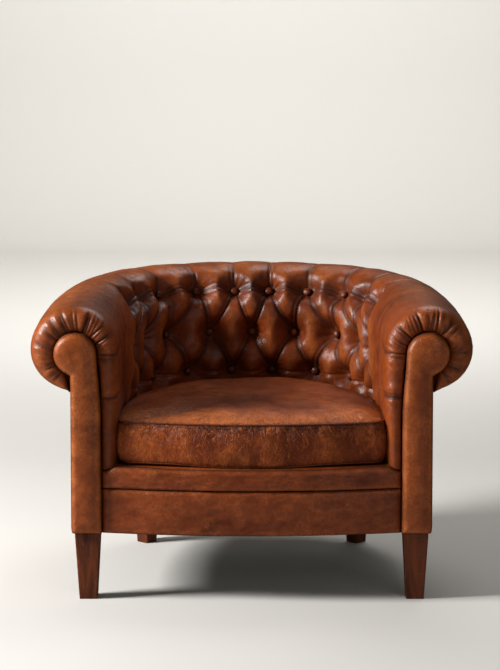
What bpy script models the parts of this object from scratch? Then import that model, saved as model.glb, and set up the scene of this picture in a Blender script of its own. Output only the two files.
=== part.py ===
"""Worn leather club chair: a tub of deep-buttoned leather on a hardwood frame.

Metres, +Z up. The chair faces -Y and its origin is at the middle of its footprint, on the floor.
"""
import math

import bmesh
import bpy
from mathutils import Vector

# Fit between pieces
GAP = 0.0003               # between pieces that touch
PAD_CLEAR = 0.002          # between the padding and the wood inside it

# Plan of the tub: two superellipses that share their start, one for the inside, one for the roll
FRONT_Y = -0.360           # front plane of the arm fronts
CURVE_START = 0.040        # from the front plane to the start of both curves
ROLL_HALF_WIDTH = 0.385
INNER_HALF_WIDTH = ROLL_HALF_WIDTH - 0.094
INNER_DEPTH = 0.525
INNER_POWER = 2.6
ROLL_DEPTH = 0.620
ROLL_POWER = 3.1

# Arm and back roll
ROLL_RADIUS = 0.097
ROLL_Z_FRONT = 0.552
ROLL_Z_BACK = 0.572
ROLL_UNDER_ANGLE = math.radians(-83)
NOSE_BULGE = 0.040         # how far the gathered end comes forward of the start of the curves
NOSE_STEPS = 6
GATHER_DEPTH = 0.005
GATHER_EVERY = 3           # a gather on each third line of the roll end
ARM_CREASES = ((0.45, 0.160), (1.40, 0.080))   # row and length back from the arm front
ARM_CREASE_DEPTH = 0.0045

# Buttoning
PITCH = 0.094              # between the buttons of a row, along the inside of the tub
TOP_PITCH = 0.84           # pitch of the top row and of the folds over the roll, as a share of PITCH
ROW_HEIGHTS = (0.417, 0.510, 0.617)
ROW_DROP = 0.009           # a row is this much lower at the arm fronts than at the back
LAST_PLEAT = 4.5           # last button of the top and bottom rows, in pitches from the middle
PIT_DEPTH = 0.017
PIT_SPREAD = 0.030
PULL_SPREAD = 0.024        # round a button the folds are pulled flat
PUFF = 0.020
PUFF_PROUD = 0.011         # how far the puffs stand in front of the plain leather
PUFF_REACH = 0.80          # share of a diamond's half width that slopes down to the fold
ROLL_FOLD_REACH = 0.55     # the same for the folds that run over the roll
BUTTON_RADIUS = 0.0095
BUTTON_RIM = 0.0080        # height of the button's rim over the tip of its shank
BUTTON_DOME = 0.0042
CELLS_PER_PITCH = 8

# Heights
LEG_HEIGHT = 0.150
WEB_THICKNESS = 0.002
CLOTH_THICKNESS = 0.0015
DECK_BOTTOM = 0.250
DECK_TOP = 0.300
CUSHION_SEAM = 0.394
CUSHION_CROWN = 0.419

# Frame, measured outward from the line of the roll
FRAME_OUT = 0.002
FRAME_IN = -0.038
RAIL_IN = -0.046
POST_DEPTH = 0.050
TOP_RAIL_ABOVE = -0.0367   # top and bottom of the top rail, from the height of the roll's middle
TOP_RAIL_BELOW = -0.130
FRONT_RAIL_THICKNESS = 0.025
BACK_POST_WIDTH = 0.060

# Outside panels
PANEL_THICKNESS = 0.0065
PANEL_SEAM = 0.250         # from the middle of the back to the seam, along the inside of the tub

# Arm fronts
FACING_IN = ROLL_HALF_WIDTH - 0.057
FACING_OUT = ROLL_HALF_WIDTH + 0.010
FACING_PROUD = 0.008
FACING_BACK = 0.014
FACING_ROUND = 0.007
HEAD_X = ROLL_HALF_WIDTH - 0.002
HEAD_Z = 0.547
HEAD_RADIUS = 0.0465
HEAD_CLEAR = 0.0008        # from the facing's edge to the leather that turns in beside it
NECK_ANGLE = math.radians(-58)
NECK_Z = 0.500

# Front border and apron
BOW = 0.036
BORDER_SPLIT = 0.250
BORDER_THICKNESS = 0.014
BORDER_PROUD = 0.004
BORDER_ROUND = 0.012

# Cushion
CUSHION_CLEAR = 0.0025
CUSHION_FRONT = 0.004
CUSHION_BOW = 0.032
CUSHION_CORNER = 0.030
CUSHION_SEAM_IN = 0.004

# Legs
FRONT_LEG_X = ROLL_HALF_WIDTH - 0.0255
LEG_TOP = 0.056
LEG_FOOT = 0.039
BACK_LEG_TOP = 0.048
BACK_LEG_FOOT = 0.034
BACK_LEG_AT = 0.209        # from the middle of the back, along the inside of the tub
BACK_LEG_IN = -0.035       # from the line of the roll
LEG_ROUND = 0.0025
BLOCK_LENGTH = 0.090
BLOCK_WIDTH = 0.048

# Webbing
WEB_WIDTH = 0.050
WEB_ACROSS = (0.110, 0.200, 0.290, 0.380, 0.470)   # middles, from the front plane
WEB_ALONG = (-0.160, -0.080, 0.0, 0.080, 0.160)
WEB_LAP = 0.020

# Springs
SPRING_WIRE = 0.0038
SPRING_RADIUS = 0.038      # of the end coils
SPRING_WAIST = 0.027
SPRING_TURNS = 4
SPRING_FLAT = 0.16         # share of the wire that lies flat at each end
SPRING_CELLS = 8           # straight runs in one turn

# Seat layers
SIDE_END = 0.075           # from the front plane to where a layer's side meets its front line
DECK_LAP = 0.004           # how far the deck and the cloth lap the seat rails
CLOTH_LAP = 0.030

STATIONS = 40              # straight runs in each swept rail and panel

# Seats of one piece on another
POST_FRONT = FACING_BACK + GAP
FRAME_BOTTOM = LEG_HEIGHT + CLOTH_THICKNESS + 2 * GAP
RAIL_BOTTOM = FRAME_BOTTOM + WEB_THICKNESS + GAP
RAIL_TOP = DECK_BOTTOM - GAP


def start_collection(name):
    for item in list(bpy.data.objects):
        bpy.data.objects.remove(item)
    collection = bpy.data.collections.new(name)
    bpy.context.scene.collection.children.link(collection)
    return collection


CHAIR = start_collection("worn_club_chair")


def material(name, colour, roughness):
    made = bpy.data.materials.new(name)
    made.use_nodes = True
    shader = made.node_tree.nodes["Principled BSDF"]
    shader.inputs["Base Color"].default_value = (*colour, 1)
    shader.inputs["Roughness"].default_value = roughness
    return made


LEATHER = material("cognac leather", (0.30, 0.085, 0.025), 0.42)
DARK_LEATHER = material("rubbed leather", (0.21, 0.055, 0.018), 0.45)
WALNUT = material("walnut stain", (0.055, 0.022, 0.010), 0.38)
BEECH = material("frame beech", (0.52, 0.34, 0.18), 0.70)
JUTE = material("jute webbing", (0.40, 0.29, 0.15), 0.90)
PLATFORM = material("platform cloth", (0.16, 0.09, 0.05), 0.92)
BLACK_CLOTH = material("bottom cloth", (0.02, 0.02, 0.02), 0.95)
STEEL = material("spring wire", (0.30, 0.28, 0.26), 0.45)


def add_object(name, bm, surface, smooth_angle=None):
    """Turn a bmesh into the chair's named object, with its faces pointing out."""
    bmesh.ops.recalc_face_normals(bm, faces=bm.faces)
    mesh = bpy.data.meshes.new(name)
    bm.to_mesh(mesh)
    bm.free()
    mesh.materials.append(surface)
    if smooth_angle is not None:
        mesh.shade_smooth()
        mesh.set_sharp_from_angle(angle=math.radians(smooth_angle))
    made = bpy.data.objects.new(name, mesh)
    CHAIR.objects.link(made)
    return made


def loft(rings):
    """A closed solid through rings of points. A ring may split the edges of the one beside it."""
    bm = bmesh.new()
    rows = [[bm.verts.new(point) for point, _ in ring] for ring in rings]
    keys = [[key for _, key in ring] for ring in rings]
    for low, high, low_keys, high_keys in zip(rows, rows[1:], keys, keys[1:]):
        if len(low) > len(high):
            low, high, low_keys, high_keys = high, low, high_keys, low_keys
        places = [high_keys.index(key) for key in low_keys]
        for i, place in enumerate(places):
            after = (i + 1) % len(low)
            end = places[after] if after else len(high)
            between = [high[k % len(high)] for k in range(place, end + 1)]
            bm.faces.new([low[after], low[i]] + between)
    bm.faces.new(rows[0])
    bm.faces.new(rows[-1])
    return bm


def keyed(points):
    return [(point, index) for index, point in enumerate(points)]


# Plan curves

def superellipse(half_width, depth, power, steps=240):
    """Right half of the curve, from the middle of the back to the arm front."""
    points = []
    for i in range(steps + 1):
        angle = math.pi / 2 * (1 - i / steps)
        across, along = math.cos(angle) / half_width, math.sin(angle) / depth
        reach = (max(across, 0) ** power + along ** power) ** (-1 / power)
        points.append(Vector((reach * math.cos(angle), CURVE_START + reach * math.sin(angle))))
    return points


INNER_CURVE = superellipse(INNER_HALF_WIDTH, INNER_DEPTH, INNER_POWER)
ARC = [0.0]
for before, after in zip(INNER_CURVE, INNER_CURVE[1:]):
    ARC.append(ARC[-1] + (after - before).length)
TUB_LENGTH = ARC[-1]       # from the middle of the back to the start of the arm front
STATION_STEP = 2 * TUB_LENGTH / STATIONS


def on_inner_curve(arc):
    """Point and outward direction on the right half, at a distance from the middle of the back."""
    if arc >= TUB_LENGTH:
        return Vector((INNER_HALF_WIDTH, CURVE_START - (arc - TUB_LENGTH))), Vector((1, 0))
    low, high = 0, len(ARC) - 1
    while high - low > 1:
        middle = (low + high) // 2
        low, high = (middle, high) if ARC[middle] <= arc else (low, middle)
    share = (arc - ARC[low]) / (ARC[high] - ARC[low])
    point = INNER_CURVE[low].lerp(INNER_CURVE[high], share)
    before = INNER_CURVE[max(low - 2, 0)]
    after = INNER_CURVE[min(high + 2, len(ARC) - 1)]
    if low < 3:
        before = Vector((-after.x, after.y))
    direction = (after - before).normalized()
    return point, Vector((-direction.y, direction.x))


def roll_distance(point, outward):
    """How far the line of the roll lies from the inside of the tub."""
    if point.y <= CURVE_START:
        return ROLL_HALF_WIDTH - point.x
    low, high = 0.03, 0.30
    for _ in range(40):
        middle = (low + high) / 2
        place = point + outward * middle
        across = abs(place.x) / ROLL_HALF_WIDTH
        along = max(place.y - CURVE_START, 0) / ROLL_DEPTH
        if across ** ROLL_POWER + along ** ROLL_POWER < 1:
            low = middle
        else:
            high = middle
    return low


class Section:
    """An upright section of the tub: plan line, roll height and button rows at one place."""

    def __init__(self, arc):
        self.arc = arc
        side = -1 if arc < 0 else 1
        point, outward = on_inner_curve(abs(arc))
        self.roll_from_inside = roll_distance(point, outward)
        self.base = Vector((side * point.x, point.y + FRONT_Y))
        self.outward = Vector((side * outward.x, outward.y))
        along = min(abs(arc) / TUB_LENGTH, 1)
        self.roll_z = ROLL_Z_BACK + (ROLL_Z_FRONT - ROLL_Z_BACK) * along
        back = max(point.y - CURVE_START, 0) / INNER_DEPTH
        self.rows = [height - ROW_DROP * (1 - back) for height in ROW_HEIGHTS]

    def place(self, out, height):
        """A point at a distance outward from the line of the roll."""
        plan = self.base + self.outward * (self.roll_from_inside + out)
        return Vector((plan.x, plan.y, height))


# Tufted leather

def nearest_pleat(value, first, last):
    return abs(value - min(max(math.floor(value) + 0.5, first), last))


def puffed(distance, reach):
    """Rise of stuffed leather from a pleat: steep at the pleat, level at its reach."""
    share = min(distance / reach, 1)
    return math.sqrt(1 - (1 - share) ** 2)


def eased(share):
    share = min(max(share, 0), 1)
    return share * share * (3 - 2 * share)


def button_columns(row):
    """Places of a row's buttons, in pitches from the middle of the back."""
    count = int(LAST_PLEAT + 0.5)
    if row == 1:
        return [float(k) for k in range(-count + 1, count)]
    return [k + 0.5 for k in range(-count, count)]


def pitch_at(row):
    """Pitch at a row: the buttons of the top row stand closer."""
    return PITCH * (1 - (1 - TOP_PITCH) * eased(row - 1))


def arc_of(column, row):
    """Place along the tub of a line of the leather: in pitches, then from the last pleat to the arm front."""
    last = LAST_PLEAT * pitch_at(row)
    if abs(column) <= LAST_PLEAT:
        return column * pitch_at(row)
    share = abs(column) - LAST_PLEAT
    return math.copysign(last + (TUB_LENGTH - last) * share, column)


def tufting(arc, row):
    """Height of the leather over its plain surface. Buttons of rows 0 and 2 are at half columns."""
    pitch = pitch_at(row)
    column = abs(arc) / pitch
    row_pitch = (ROW_HEIGHTS[2] - ROW_HEIGHTS[0]) / 2
    diagonal = 1 / math.hypot(1 / PITCH, 0.5 / row_pitch)
    if 0 <= row <= 2:
        rising = nearest_pleat(column + row / 2, 0.5, LAST_PLEAT)
        falling = nearest_pleat(column - row / 2, -0.5, LAST_PLEAT - 1)
        reach = PUFF_REACH * diagonal / 2
        rise = puffed(rising * diagonal, reach) * puffed(falling * diagonal, reach)
        to_row = min(row, 2 - row)
    else:
        rise = puffed(nearest_pleat(column, 0.5, LAST_PLEAT) * pitch, ROLL_FOLD_REACH * pitch / 2)
        to_row = row - 2 if row > 2 else -row
    if column < LAST_PLEAT:
        rise *= 0.35 + 0.65 * puffed(to_row * row_pitch, row_pitch * 0.35)
    height = PUFF * rise
    if row > 2:
        height *= 1 - 0.84 * eased((row - 2) / 1.3) - 0.16 * eased((row - 3.0) / 1.4)
    if row < 0:
        height *= 1 - eased(-row / 0.3)
    height *= 1 - eased((column - LAST_PLEAT) / 1.1)
    nearest = min(math.hypot((column - place) * pitch, (row - index) * row_pitch)
                  for index in range(3) for place in button_columns(index))
    pit = math.exp(-(nearest / PIT_SPREAD) ** 3)
    height *= 1 - math.exp(-(nearest / PULL_SPREAD) ** 3)
    proud = (PUFF_PROUD - PUFF) * eased((row + 0.3) / 0.3) * (1 - eased((row - 2) / 1.3))
    proud *= 1 - eased((column - LAST_PLEAT) / 1.1)
    return height + proud - PIT_DEPTH * pit


ROLL_ROWS = 4.0            # the roll from the top buttons to its underside, in row pitches


def skin_point(section, row):
    """Place and outward normal of the plain leather, as distance from the roll line and height."""
    low, middle, high = section.rows
    if row <= 2:
        bottom = DECK_TOP + GAP
        if row < 0:
            height = low + (low - bottom) * row / BELOW_ROWS
        elif row < 1:
            height = low + (middle - low) * row
        else:
            height = middle + (high - middle) * (row - 1)
        over = height - section.roll_z
        if over > 0:
            out = -math.sqrt(ROLL_RADIUS ** 2 - over ** 2)
            return out, height, Vector((out, over)).normalized()
        share = (height - bottom) / (section.roll_z - bottom)
        lean = ROLL_RADIUS - section.roll_from_inside
        return -ROLL_RADIUS + lean * (1 - share) ** 2, height, Vector((-1, 0))
    start = math.pi - math.asin((high - section.roll_z) / ROLL_RADIUS)
    angle = start + (ROLL_UNDER_ANGLE - start) * (row - 2) / ROLL_ROWS
    normal = Vector((math.cos(angle), math.sin(angle)))
    return normal.x * ROLL_RADIUS, section.roll_z + normal.y * ROLL_RADIUS, normal


BELOW_ROWS = 1.17          # from the bottom buttons to the deck, in row pitches
ROLL_CELLS = 16


def skin_rows():
    """Lines of the leather from the deck up, over the roll and under it, in row pitches."""
    below = [-BELOW_ROWS, -0.75, -0.35, -0.16]
    tufted = [i / 6 for i in range(12)]
    over = [2 + ROLL_ROWS * i / ROLL_CELLS for i in range(ROLL_CELLS + 1)]
    return below + tufted + over


def back_of_padding(section):
    """Hidden side of the padding, round the frame: from the roll's underside down to the deck."""
    clear_out = FRAME_OUT + PAD_CLEAR
    clear_in = FRAME_IN - PAD_CLEAR
    under = section.roll_z + math.sin(ROLL_UNDER_ANGLE) * ROLL_RADIUS
    over_rail = section.roll_z + TOP_RAIL_ABOVE + PAD_CLEAR
    return [(clear_out, under), (clear_out, over_rail), (clear_in, over_rail),
            (clear_in, DECK_TOP + GAP)]


def arm_crease(arc, row):
    """Depth of the two creases that run back from the arm front."""
    depth = 0
    for place, length in ARM_CREASES:
        if abs(row - place) < 1 / 12:
            depth = ARM_CREASE_DEPTH * (1 - eased((TUB_LENGTH - abs(arc)) / length))
    return depth


def body_ring(column):
    ring = []
    for row in skin_rows():
        arc = arc_of(column, row)
        section = Section(arc)
        out, height, normal = skin_point(section, row)
        rise = tufting(arc, row) - arm_crease(arc, row)
        if row == -BELOW_ROWS:
            rise, normal = min(rise, 0), Vector((-1, 0))
        ring.append((section.place(out + normal.x * rise, height + normal.y * rise), row))
    low = Section(arc_of(column, -BELOW_ROWS))
    for index, (out, height) in enumerate(back_of_padding(section)):
        at = low if index == 3 else section
        ring.append((at.place(out, height), 100 + index))
    return ring


def facing_inner_edge(height):
    """Inner edge of the arm facing, as a distance across, at a height."""
    straight = (NECK_Z - 0.080, FACING_IN)
    head = (HEAD_Z, HEAD_X - HEAD_RADIUS)
    share = min(max((height - straight[0]) / (head[0] - straight[0]), 0), 1)
    return straight[1] + (head[1] - straight[1]) * share ** 1.6


def facing_point(section, row):
    """Point beside the facing's outline that a line of the roll runs to."""
    out, height, normal = skin_point(section, row)
    if height < HEAD_Z and out < 0:
        return facing_inner_edge(height) - HEAD_CLEAR - ROLL_HALF_WIDTH, height
    angle = math.atan2(normal.y, normal.x)
    radius = HEAD_RADIUS + HEAD_CLEAR
    middle = HEAD_X - ROLL_HALF_WIDTH
    if angle > NECK_ANGLE:
        return middle + radius * math.cos(angle), HEAD_Z + radius * math.sin(angle)
    share = (NECK_ANGLE - angle) / (NECK_ANGLE - ROLL_UNDER_ANGLE)
    start = Vector((middle + radius * math.cos(NECK_ANGLE), HEAD_Z + radius * math.sin(NECK_ANGLE)))
    under = section.roll_z + math.sin(ROLL_UNDER_ANGLE) * ROLL_RADIUS
    end = Vector((FACING_OUT + HEAD_CLEAR - ROLL_HALF_WIDTH, under))
    return tuple(start.lerp(end, share))


def nose_rows():
    """Lines of the gathered end: the roll's lines and one between each two over the roll."""
    rows = skin_rows()
    between = [(before + after) / 2 for before, after in zip(rows, rows[1:]) if before >= 2]
    return sorted(rows + between)


def gather_depth(row, inward):
    line = round((row - 2) * 2 * ROLL_CELLS / ROLL_ROWS)
    if row < 2 or row >= 2 + ROLL_ROWS or line % GATHER_EVERY:
        return 0
    return GATHER_DEPTH * inward ** 0.6


def nose_ring(side, step):
    """Ring of the gathered arm front, which rolls forward and in, and ends behind the facing."""
    section = Section(side * TUB_LENGTH)
    tuck = CURVE_START - POST_FRONT
    last = math.pi - math.asin(tuck / NOSE_BULGE)
    turn = last * step / NOSE_STEPS
    inward = (1 - math.cos(turn)) / (1 - math.cos(last))
    ring = []
    for row in nose_rows():
        out, height, normal = skin_point(section, row)
        to_out, to_height = facing_point(section, row)
        depth = gather_depth(row, inward) + arm_crease(TUB_LENGTH, row) if step < NOSE_STEPS else 0
        shrink = depth * abs(math.cos(turn))
        out += (to_out - out) * inward - normal.x * shrink
        height += (to_height - height) * inward - normal.y * shrink
        forward = (depth - NOSE_BULGE) * math.sin(turn)
        ring.append((section.place(out, height) + Vector((0, forward, 0)), row))
    back = Vector((0, -tuck * step / NOSE_STEPS, 0))
    for index, (out, height) in enumerate(back_of_padding(section)):
        ring.append((section.place(out, height) + back, 100 + index))
    return ring


def body_columns():
    """Columns of the rings: fine over the buttons, coarser along the plain arm fronts."""
    tufted = round(LAST_PLEAT * CELLS_PER_PITCH)
    right = [i / CELLS_PER_PITCH for i in range(tufted + 1)]
    right += [LAST_PLEAT + share for share in (0.05, 0.13, 0.25, 0.40, 0.60, 0.80, 1.0)]
    return [-column for column in reversed(right[1:])] + right


def make_tub_cover():
    left = [nose_ring(-1, step) for step in range(NOSE_STEPS, 0, -1)]
    right = [nose_ring(1, step) for step in range(1, NOSE_STEPS + 1)]
    body = [body_ring(column) for column in body_columns()]
    add_object("tufted_inside_and_roll", loft(left + body + right), LEATHER, 50)


def button_profile():
    """Half section of a covered button on its tufting shank, from the top down its outer side."""
    mesh = bpy.data.meshes.new("tufting button")
    points = [(0, BUTTON_RIM + BUTTON_DOME), (BUTTON_RADIUS * 0.62, BUTTON_RIM + BUTTON_DOME * 0.8),
              (BUTTON_RADIUS * 0.95, BUTTON_RIM + BUTTON_DOME * 0.3), (BUTTON_RADIUS, BUTTON_RIM),
              (0, GAP)]
    mesh.from_pydata([(x, 0, z) for x, z in points], [(i, i + 1) for i in range(4)], [])
    mesh.materials.append(LEATHER)
    return mesh


def make_buttons():
    mesh = button_profile()
    for row, name in enumerate(("low", "middle", "top")):
        for number, column in enumerate(button_columns(row), 1):
            arc = arc_of(column, row)
            section = Section(arc)
            out, height, normal = skin_point(section, row)
            rise = tufting(arc, row)
            button = bpy.data.objects.new(f"button_{name}_{number:02d}", mesh)
            button.location = section.place(out + normal.x * rise, height + normal.y * rise)
            facing = Vector((*(section.outward * normal.x), normal.y))
            button.rotation_mode = "QUATERNION"
            button.rotation_quaternion = facing.to_track_quat("Z", "Y")
            turned = button.modifiers.new("turned", "SCREW")
            turned.steps = turned.render_steps = 8
            turned.use_merge_vertices = True
            turned.merge_threshold = 0.00001
            turned.use_smooth_shade = True
            CHAIR.objects.link(button)


# Swept frame and panels

def sweep_arcs(start, end):
    """Shared places of the swept pieces between two ends, so that their facets run together."""
    shared = [k * STATION_STEP for k in range(-STATIONS // 2, STATIONS // 2 + 1)]
    return [start] + [arc for arc in shared if start + 0.004 < arc < end - 0.004] + [end]


def station_span(side, middle, width):
    """Shared places nearest to the ends of a short piece, in order along the tub."""
    near = round((middle - width / 2) / STATION_STEP)
    far = max(round((middle + width / 2) / STATION_STEP), near + 1)
    return sorted((side * near * STATION_STEP, side * far * STATION_STEP))


def sweep(name, start, end, corners, surface, smooth_angle=30):
    """Sweep corners, each a distance out and a height, along the tub. corners is called with a section."""
    rings = []
    for arc in sweep_arcs(start, end):
        section = Section(arc)
        rings.append(keyed([section.place(out, height) for out, height in corners(section)]))
    return add_object(name, loft(rings), surface, smooth_angle)


def front_arc(from_front):
    """Place along the tub of a point on the straight arm front."""
    return TUB_LENGTH + CURVE_START - from_front


def arc_at(from_front):
    """Place along the tub where its roll line lies this far behind the front plane."""
    low, high = 0.0, TUB_LENGTH
    for _ in range(40):
        middle = (low + high) / 2
        if Section(middle).place(0, 0).y - FRONT_Y > from_front:
            low = middle
        else:
            high = middle
    return low


def make_top_rail():
    def corners(section):
        high = section.roll_z + TOP_RAIL_ABOVE
        low = section.roll_z + TOP_RAIL_BELOW
        return [(FRAME_IN, low), (FRAME_OUT, low), (FRAME_OUT, high), (FRAME_IN, high)]
    end = front_arc(POST_FRONT)
    sweep("top_rail", -end, end, corners, BEECH)


def make_curved_seat_rail():
    def corners(section):
        return [(RAIL_IN, RAIL_BOTTOM), (FRAME_OUT, RAIL_BOTTOM),
                (FRAME_OUT, RAIL_TOP), (RAIL_IN, RAIL_TOP)]
    end = arc_at(POST_FRONT + POST_DEPTH + GAP)
    sweep("curved_seat_rail", -end, end, corners, BEECH)


def box(name, low, high, surface):
    low, high = Vector(low), Vector(high)
    bm = bmesh.new()
    bmesh.ops.create_cube(bm, size=1)
    bmesh.ops.scale(bm, vec=high - low, verts=bm.verts)
    bmesh.ops.translate(bm, vec=(low + high) / 2, verts=bm.verts)
    return add_object(name, bm, surface, 30)


def make_posts():
    top = ROLL_Z_FRONT + TOP_RAIL_BELOW - GAP
    for side, name in ((-1, "left"), (1, "right")):
        near, far = ROLL_HALF_WIDTH + FRAME_IN, ROLL_HALF_WIDTH + FRAME_OUT
        across = sorted((side * near, side * far))
        box(f"front_post_{name}", (across[0], FRONT_Y + POST_FRONT, FRAME_BOTTOM),
            (across[1], FRONT_Y + POST_FRONT + POST_DEPTH, top), BEECH)

    def corners(section):
        high = section.roll_z + TOP_RAIL_BELOW - GAP
        low = RAIL_TOP + GAP
        return [(FRAME_IN, low), (FRAME_OUT, low), (FRAME_OUT, high), (FRAME_IN, high)]
    for side, name in ((-1, "left"), (1, "right")):
        start, end = station_span(side, BACK_LEG_AT, BACK_POST_WIDTH)
        sweep(f"back_post_{name}", start, end, corners, BEECH)


def make_outside_panels():
    def corners(section):
        low = LEG_HEIGHT + GAP
        high = section.roll_z + math.sin(ROLL_UNDER_ANGLE) * ROLL_RADIUS - GAP
        near, far = FRAME_OUT + GAP, FRAME_OUT + GAP + PANEL_THICKNESS
        return [(near, low), (far, low), (far, high), (near, high)]
    end = front_arc(POST_FRONT)
    sweep("outside_back", -PANEL_SEAM, PANEL_SEAM, corners, DARK_LEATHER)
    sweep("outside_arm_left", -end, -PANEL_SEAM - GAP, corners, DARK_LEATHER)
    sweep("outside_arm_right", PANEL_SEAM + GAP, end, corners, DARK_LEATHER)


# Front

def bowed(x):
    """Front line of the border, from the front plane."""
    return -BOW * (1 - min(abs(x) / FACING_IN, 1) ** 2)


def bow_places(half_length, cells=10):
    """Places across the right half of the bow, from its end to the middle."""
    straight = FACING_IN - GAP
    places = [straight * (1 - i / cells) for i in range(cells + 1)]
    return [half_length] + places if half_length > FACING_IN else places


def bowed_bar(name, places, outline, surface, smooth_angle=40):
    """A bar along the bowed front. outline gives its section at a place across, as (back, height)."""
    rings = []
    for x in sorted({-place for place in places} | set(places)):
        rings.append(keyed([Vector((x, FRONT_Y + bowed(x) + back, height))
                            for back, height in outline(x)]))
    return add_object(name, loft(rings), surface, smooth_angle)


def padded_section(x, low, high, half_length, proud):
    """Section of a padded strip, softer at its edges and tucked in at its ends."""
    end = min(max(half_length - abs(x), 0) / BORDER_ROUND, 1)
    tuck = BORDER_THICKNESS * 0.55 * (1 - math.sqrt(1 - (1 - end) ** 2))
    swell = [(0.0, 0.45), (0.06, 0.16), (0.20, 0.03), (0.5, -proud / BORDER_THICKNESS),
             (0.80, 0.03), (0.94, 0.16), (1.0, 0.45)]
    front = [(tuck + BORDER_THICKNESS * share * (1 if share > 0 else end),
              low + (high - low) * up) for up, share in swell]
    return front + [(BORDER_THICKNESS, high), (BORDER_THICKNESS, low)]


def padded_strip(name, low, high, proud):
    half_length = FACING_IN - GAP
    places = bow_places(half_length) + [half_length - BORDER_ROUND * share
                                        for share in (0.12, 0.4, 1.0)]
    bowed_bar(name, places, lambda x: padded_section(x, low, high, half_length, proud), LEATHER)


def make_front():
    padded_strip("front_apron", LEG_HEIGHT + GAP, BORDER_SPLIT, BORDER_PROUD * 0.4)
    padded_strip("front_border", BORDER_SPLIT + GAP, DECK_TOP, BORDER_PROUD)
    back = POST_FRONT + FRONT_RAIL_THICKNESS

    def rail_section(x):
        return [(POST_FRONT, RAIL_BOTTOM), (back, RAIL_BOTTOM), (back, RAIL_TOP),
                (POST_FRONT, RAIL_TOP)]
    bowed_bar("front_rail", bow_places(ROLL_HALF_WIDTH + FRAME_IN - GAP), rail_section, BEECH)


def facing_outline():
    """Keyhole outline of an arm front, as distance across and height, counter-clockwise."""
    points = [(FACING_OUT, LEG_HEIGHT + GAP), (FACING_OUT - 0.0015, NECK_Z - 0.020),
              (FACING_OUT - 0.001, NECK_Z)]
    for step in range(19):
        angle = math.radians(-55 + step * 235 / 18)
        points.append((HEAD_X + HEAD_RADIUS * math.cos(angle), HEAD_Z + HEAD_RADIUS * math.sin(angle)))
    points += [(FACING_IN + 0.0065, NECK_Z + 0.010), (FACING_IN + 0.003, NECK_Z - 0.030),
               (FACING_IN, NECK_Z - 0.080), (FACING_IN, LEG_HEIGHT + GAP)]
    return points


def make_facings():
    for side, name in ((-1, "left"), (1, "right")):
        bm = bmesh.new()
        front = FRONT_Y - FACING_PROUD
        corners = [bm.verts.new((side * x, front, z)) for x, z in facing_outline()]
        face = bm.faces.new(corners)
        grown = bmesh.ops.extrude_face_region(bm, geom=[face])
        moved = [item for item in grown["geom"] if isinstance(item, bmesh.types.BMVert)]
        bmesh.ops.translate(bm, vec=(0, FACING_PROUD + FACING_BACK, 0), verts=moved)
        rim = [edge for edge in bm.edges if all(abs(v.co.y - front) < 1e-6 for v in edge.verts)]
        bmesh.ops.bevel(bm, geom=rim, offset=FACING_ROUND, segments=3, profile=0.6,
                        affect="EDGES", clamp_overlap=True)
        add_object(f"arm_facing_{name}", bm, LEATHER, 50)


# Seat

def seat_outline(edge, front_line, cells=17):
    """Plan of a seat layer: an edge that follows the tub, closed by a front line."""
    start = front_arc(SIDE_END)
    half = [edge(Section(start * i / cells)) for i in range(cells + 1)]
    half += front_line(half[-1].x)
    left = [Vector((-point.x, point.y)) for point in reversed(half) if point.x > 1e-6]
    return half + left


def cushion_front(half_width):
    """Right half of the cushion's bowed front with its rounded corner, from the side to the middle."""
    points = []
    for step in range(5):
        angle = math.radians(90 * step / 4)
        x = half_width - CUSHION_CORNER * (1 - math.cos(angle))
        y = CUSHION_FRONT + CUSHION_CORNER * (1 - math.sin(angle))
        points.append(Vector((x, FRONT_Y + y)))
    corner = points[-1].x
    for step in range(1, 8):
        x = corner * (1 - step / 7)
        points.append(Vector((x, 0)))
    for point in points:
        share = min(point.x / corner, 1)
        bow = CUSHION_BOW * (1 - share ** 2)
        point.y = (point.y if point.y else FRONT_Y + CUSHION_FRONT) - bow
    return points


def layer_ring(outline, inset, height):
    """The outline drawn in towards the middle of the seat."""
    low = min(point.y for point in outline)
    high = max(point.y for point in outline)
    middle = (low + high) / 2
    across = 1 - inset / max(point.x for point in outline)
    along = 1 - inset / ((high - low) / 2)
    return [Vector((point.x * across, middle + (point.y - middle) * along, height))
            for point in outline]


def make_cushion():
    outline = seat_outline(lambda section: section.base - section.outward * CUSHION_CLEAR,
                           cushion_front)
    bottom = DECK_TOP + GAP
    low_seam, high_seam = bottom + 0.006, CUSHION_SEAM
    band = high_seam - low_seam
    rings = [layer_ring(outline, 0.150, bottom), layer_ring(outline, 0.016, bottom),
             layer_ring(outline, CUSHION_SEAM_IN, low_seam),
             layer_ring(outline, 0.001, low_seam + band * 0.25),
             layer_ring(outline, 0, low_seam + band * 0.5),
             layer_ring(outline, 0.001, low_seam + band * 0.78),
             layer_ring(outline, CUSHION_SEAM_IN, high_seam)]
    crown = CUSHION_CROWN - high_seam
    for inset in (0.010, 0.024, 0.046, 0.080, 0.130, 0.200):
        share = 1 - (1 - inset / 0.200) ** 2.4
        rings.append(layer_ring(outline, inset, high_seam + crown * share))
    bm = loft([keyed(ring) for ring in rings])
    add_object("seat_cushion", bm, LEATHER, 60)


def seat_front(half_width):
    """Right half of the deck's front edge, behind the border."""
    return [Vector((x, FRONT_Y + bowed(x) + POST_FRONT)) for x in bow_places(half_width)]


def flat_layer(name, out, low, high, surface):
    outline = seat_outline(lambda section: section.place(out, 0).xy, seat_front)
    rings = [[Vector((point.x, point.y, height)) for point in outline] for height in (low, high)]
    return add_object(name, loft([keyed(ring) for ring in rings]), surface, 30)


def make_seat():
    flat_layer("seat_deck", RAIL_IN + DECK_LAP, DECK_BOTTOM, DECK_TOP, PLATFORM)
    flat_layer("bottom_cloth", RAIL_IN + CLOTH_LAP, LEG_HEIGHT + GAP, FRAME_BOTTOM - GAP,
               BLACK_CLOTH)


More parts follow.
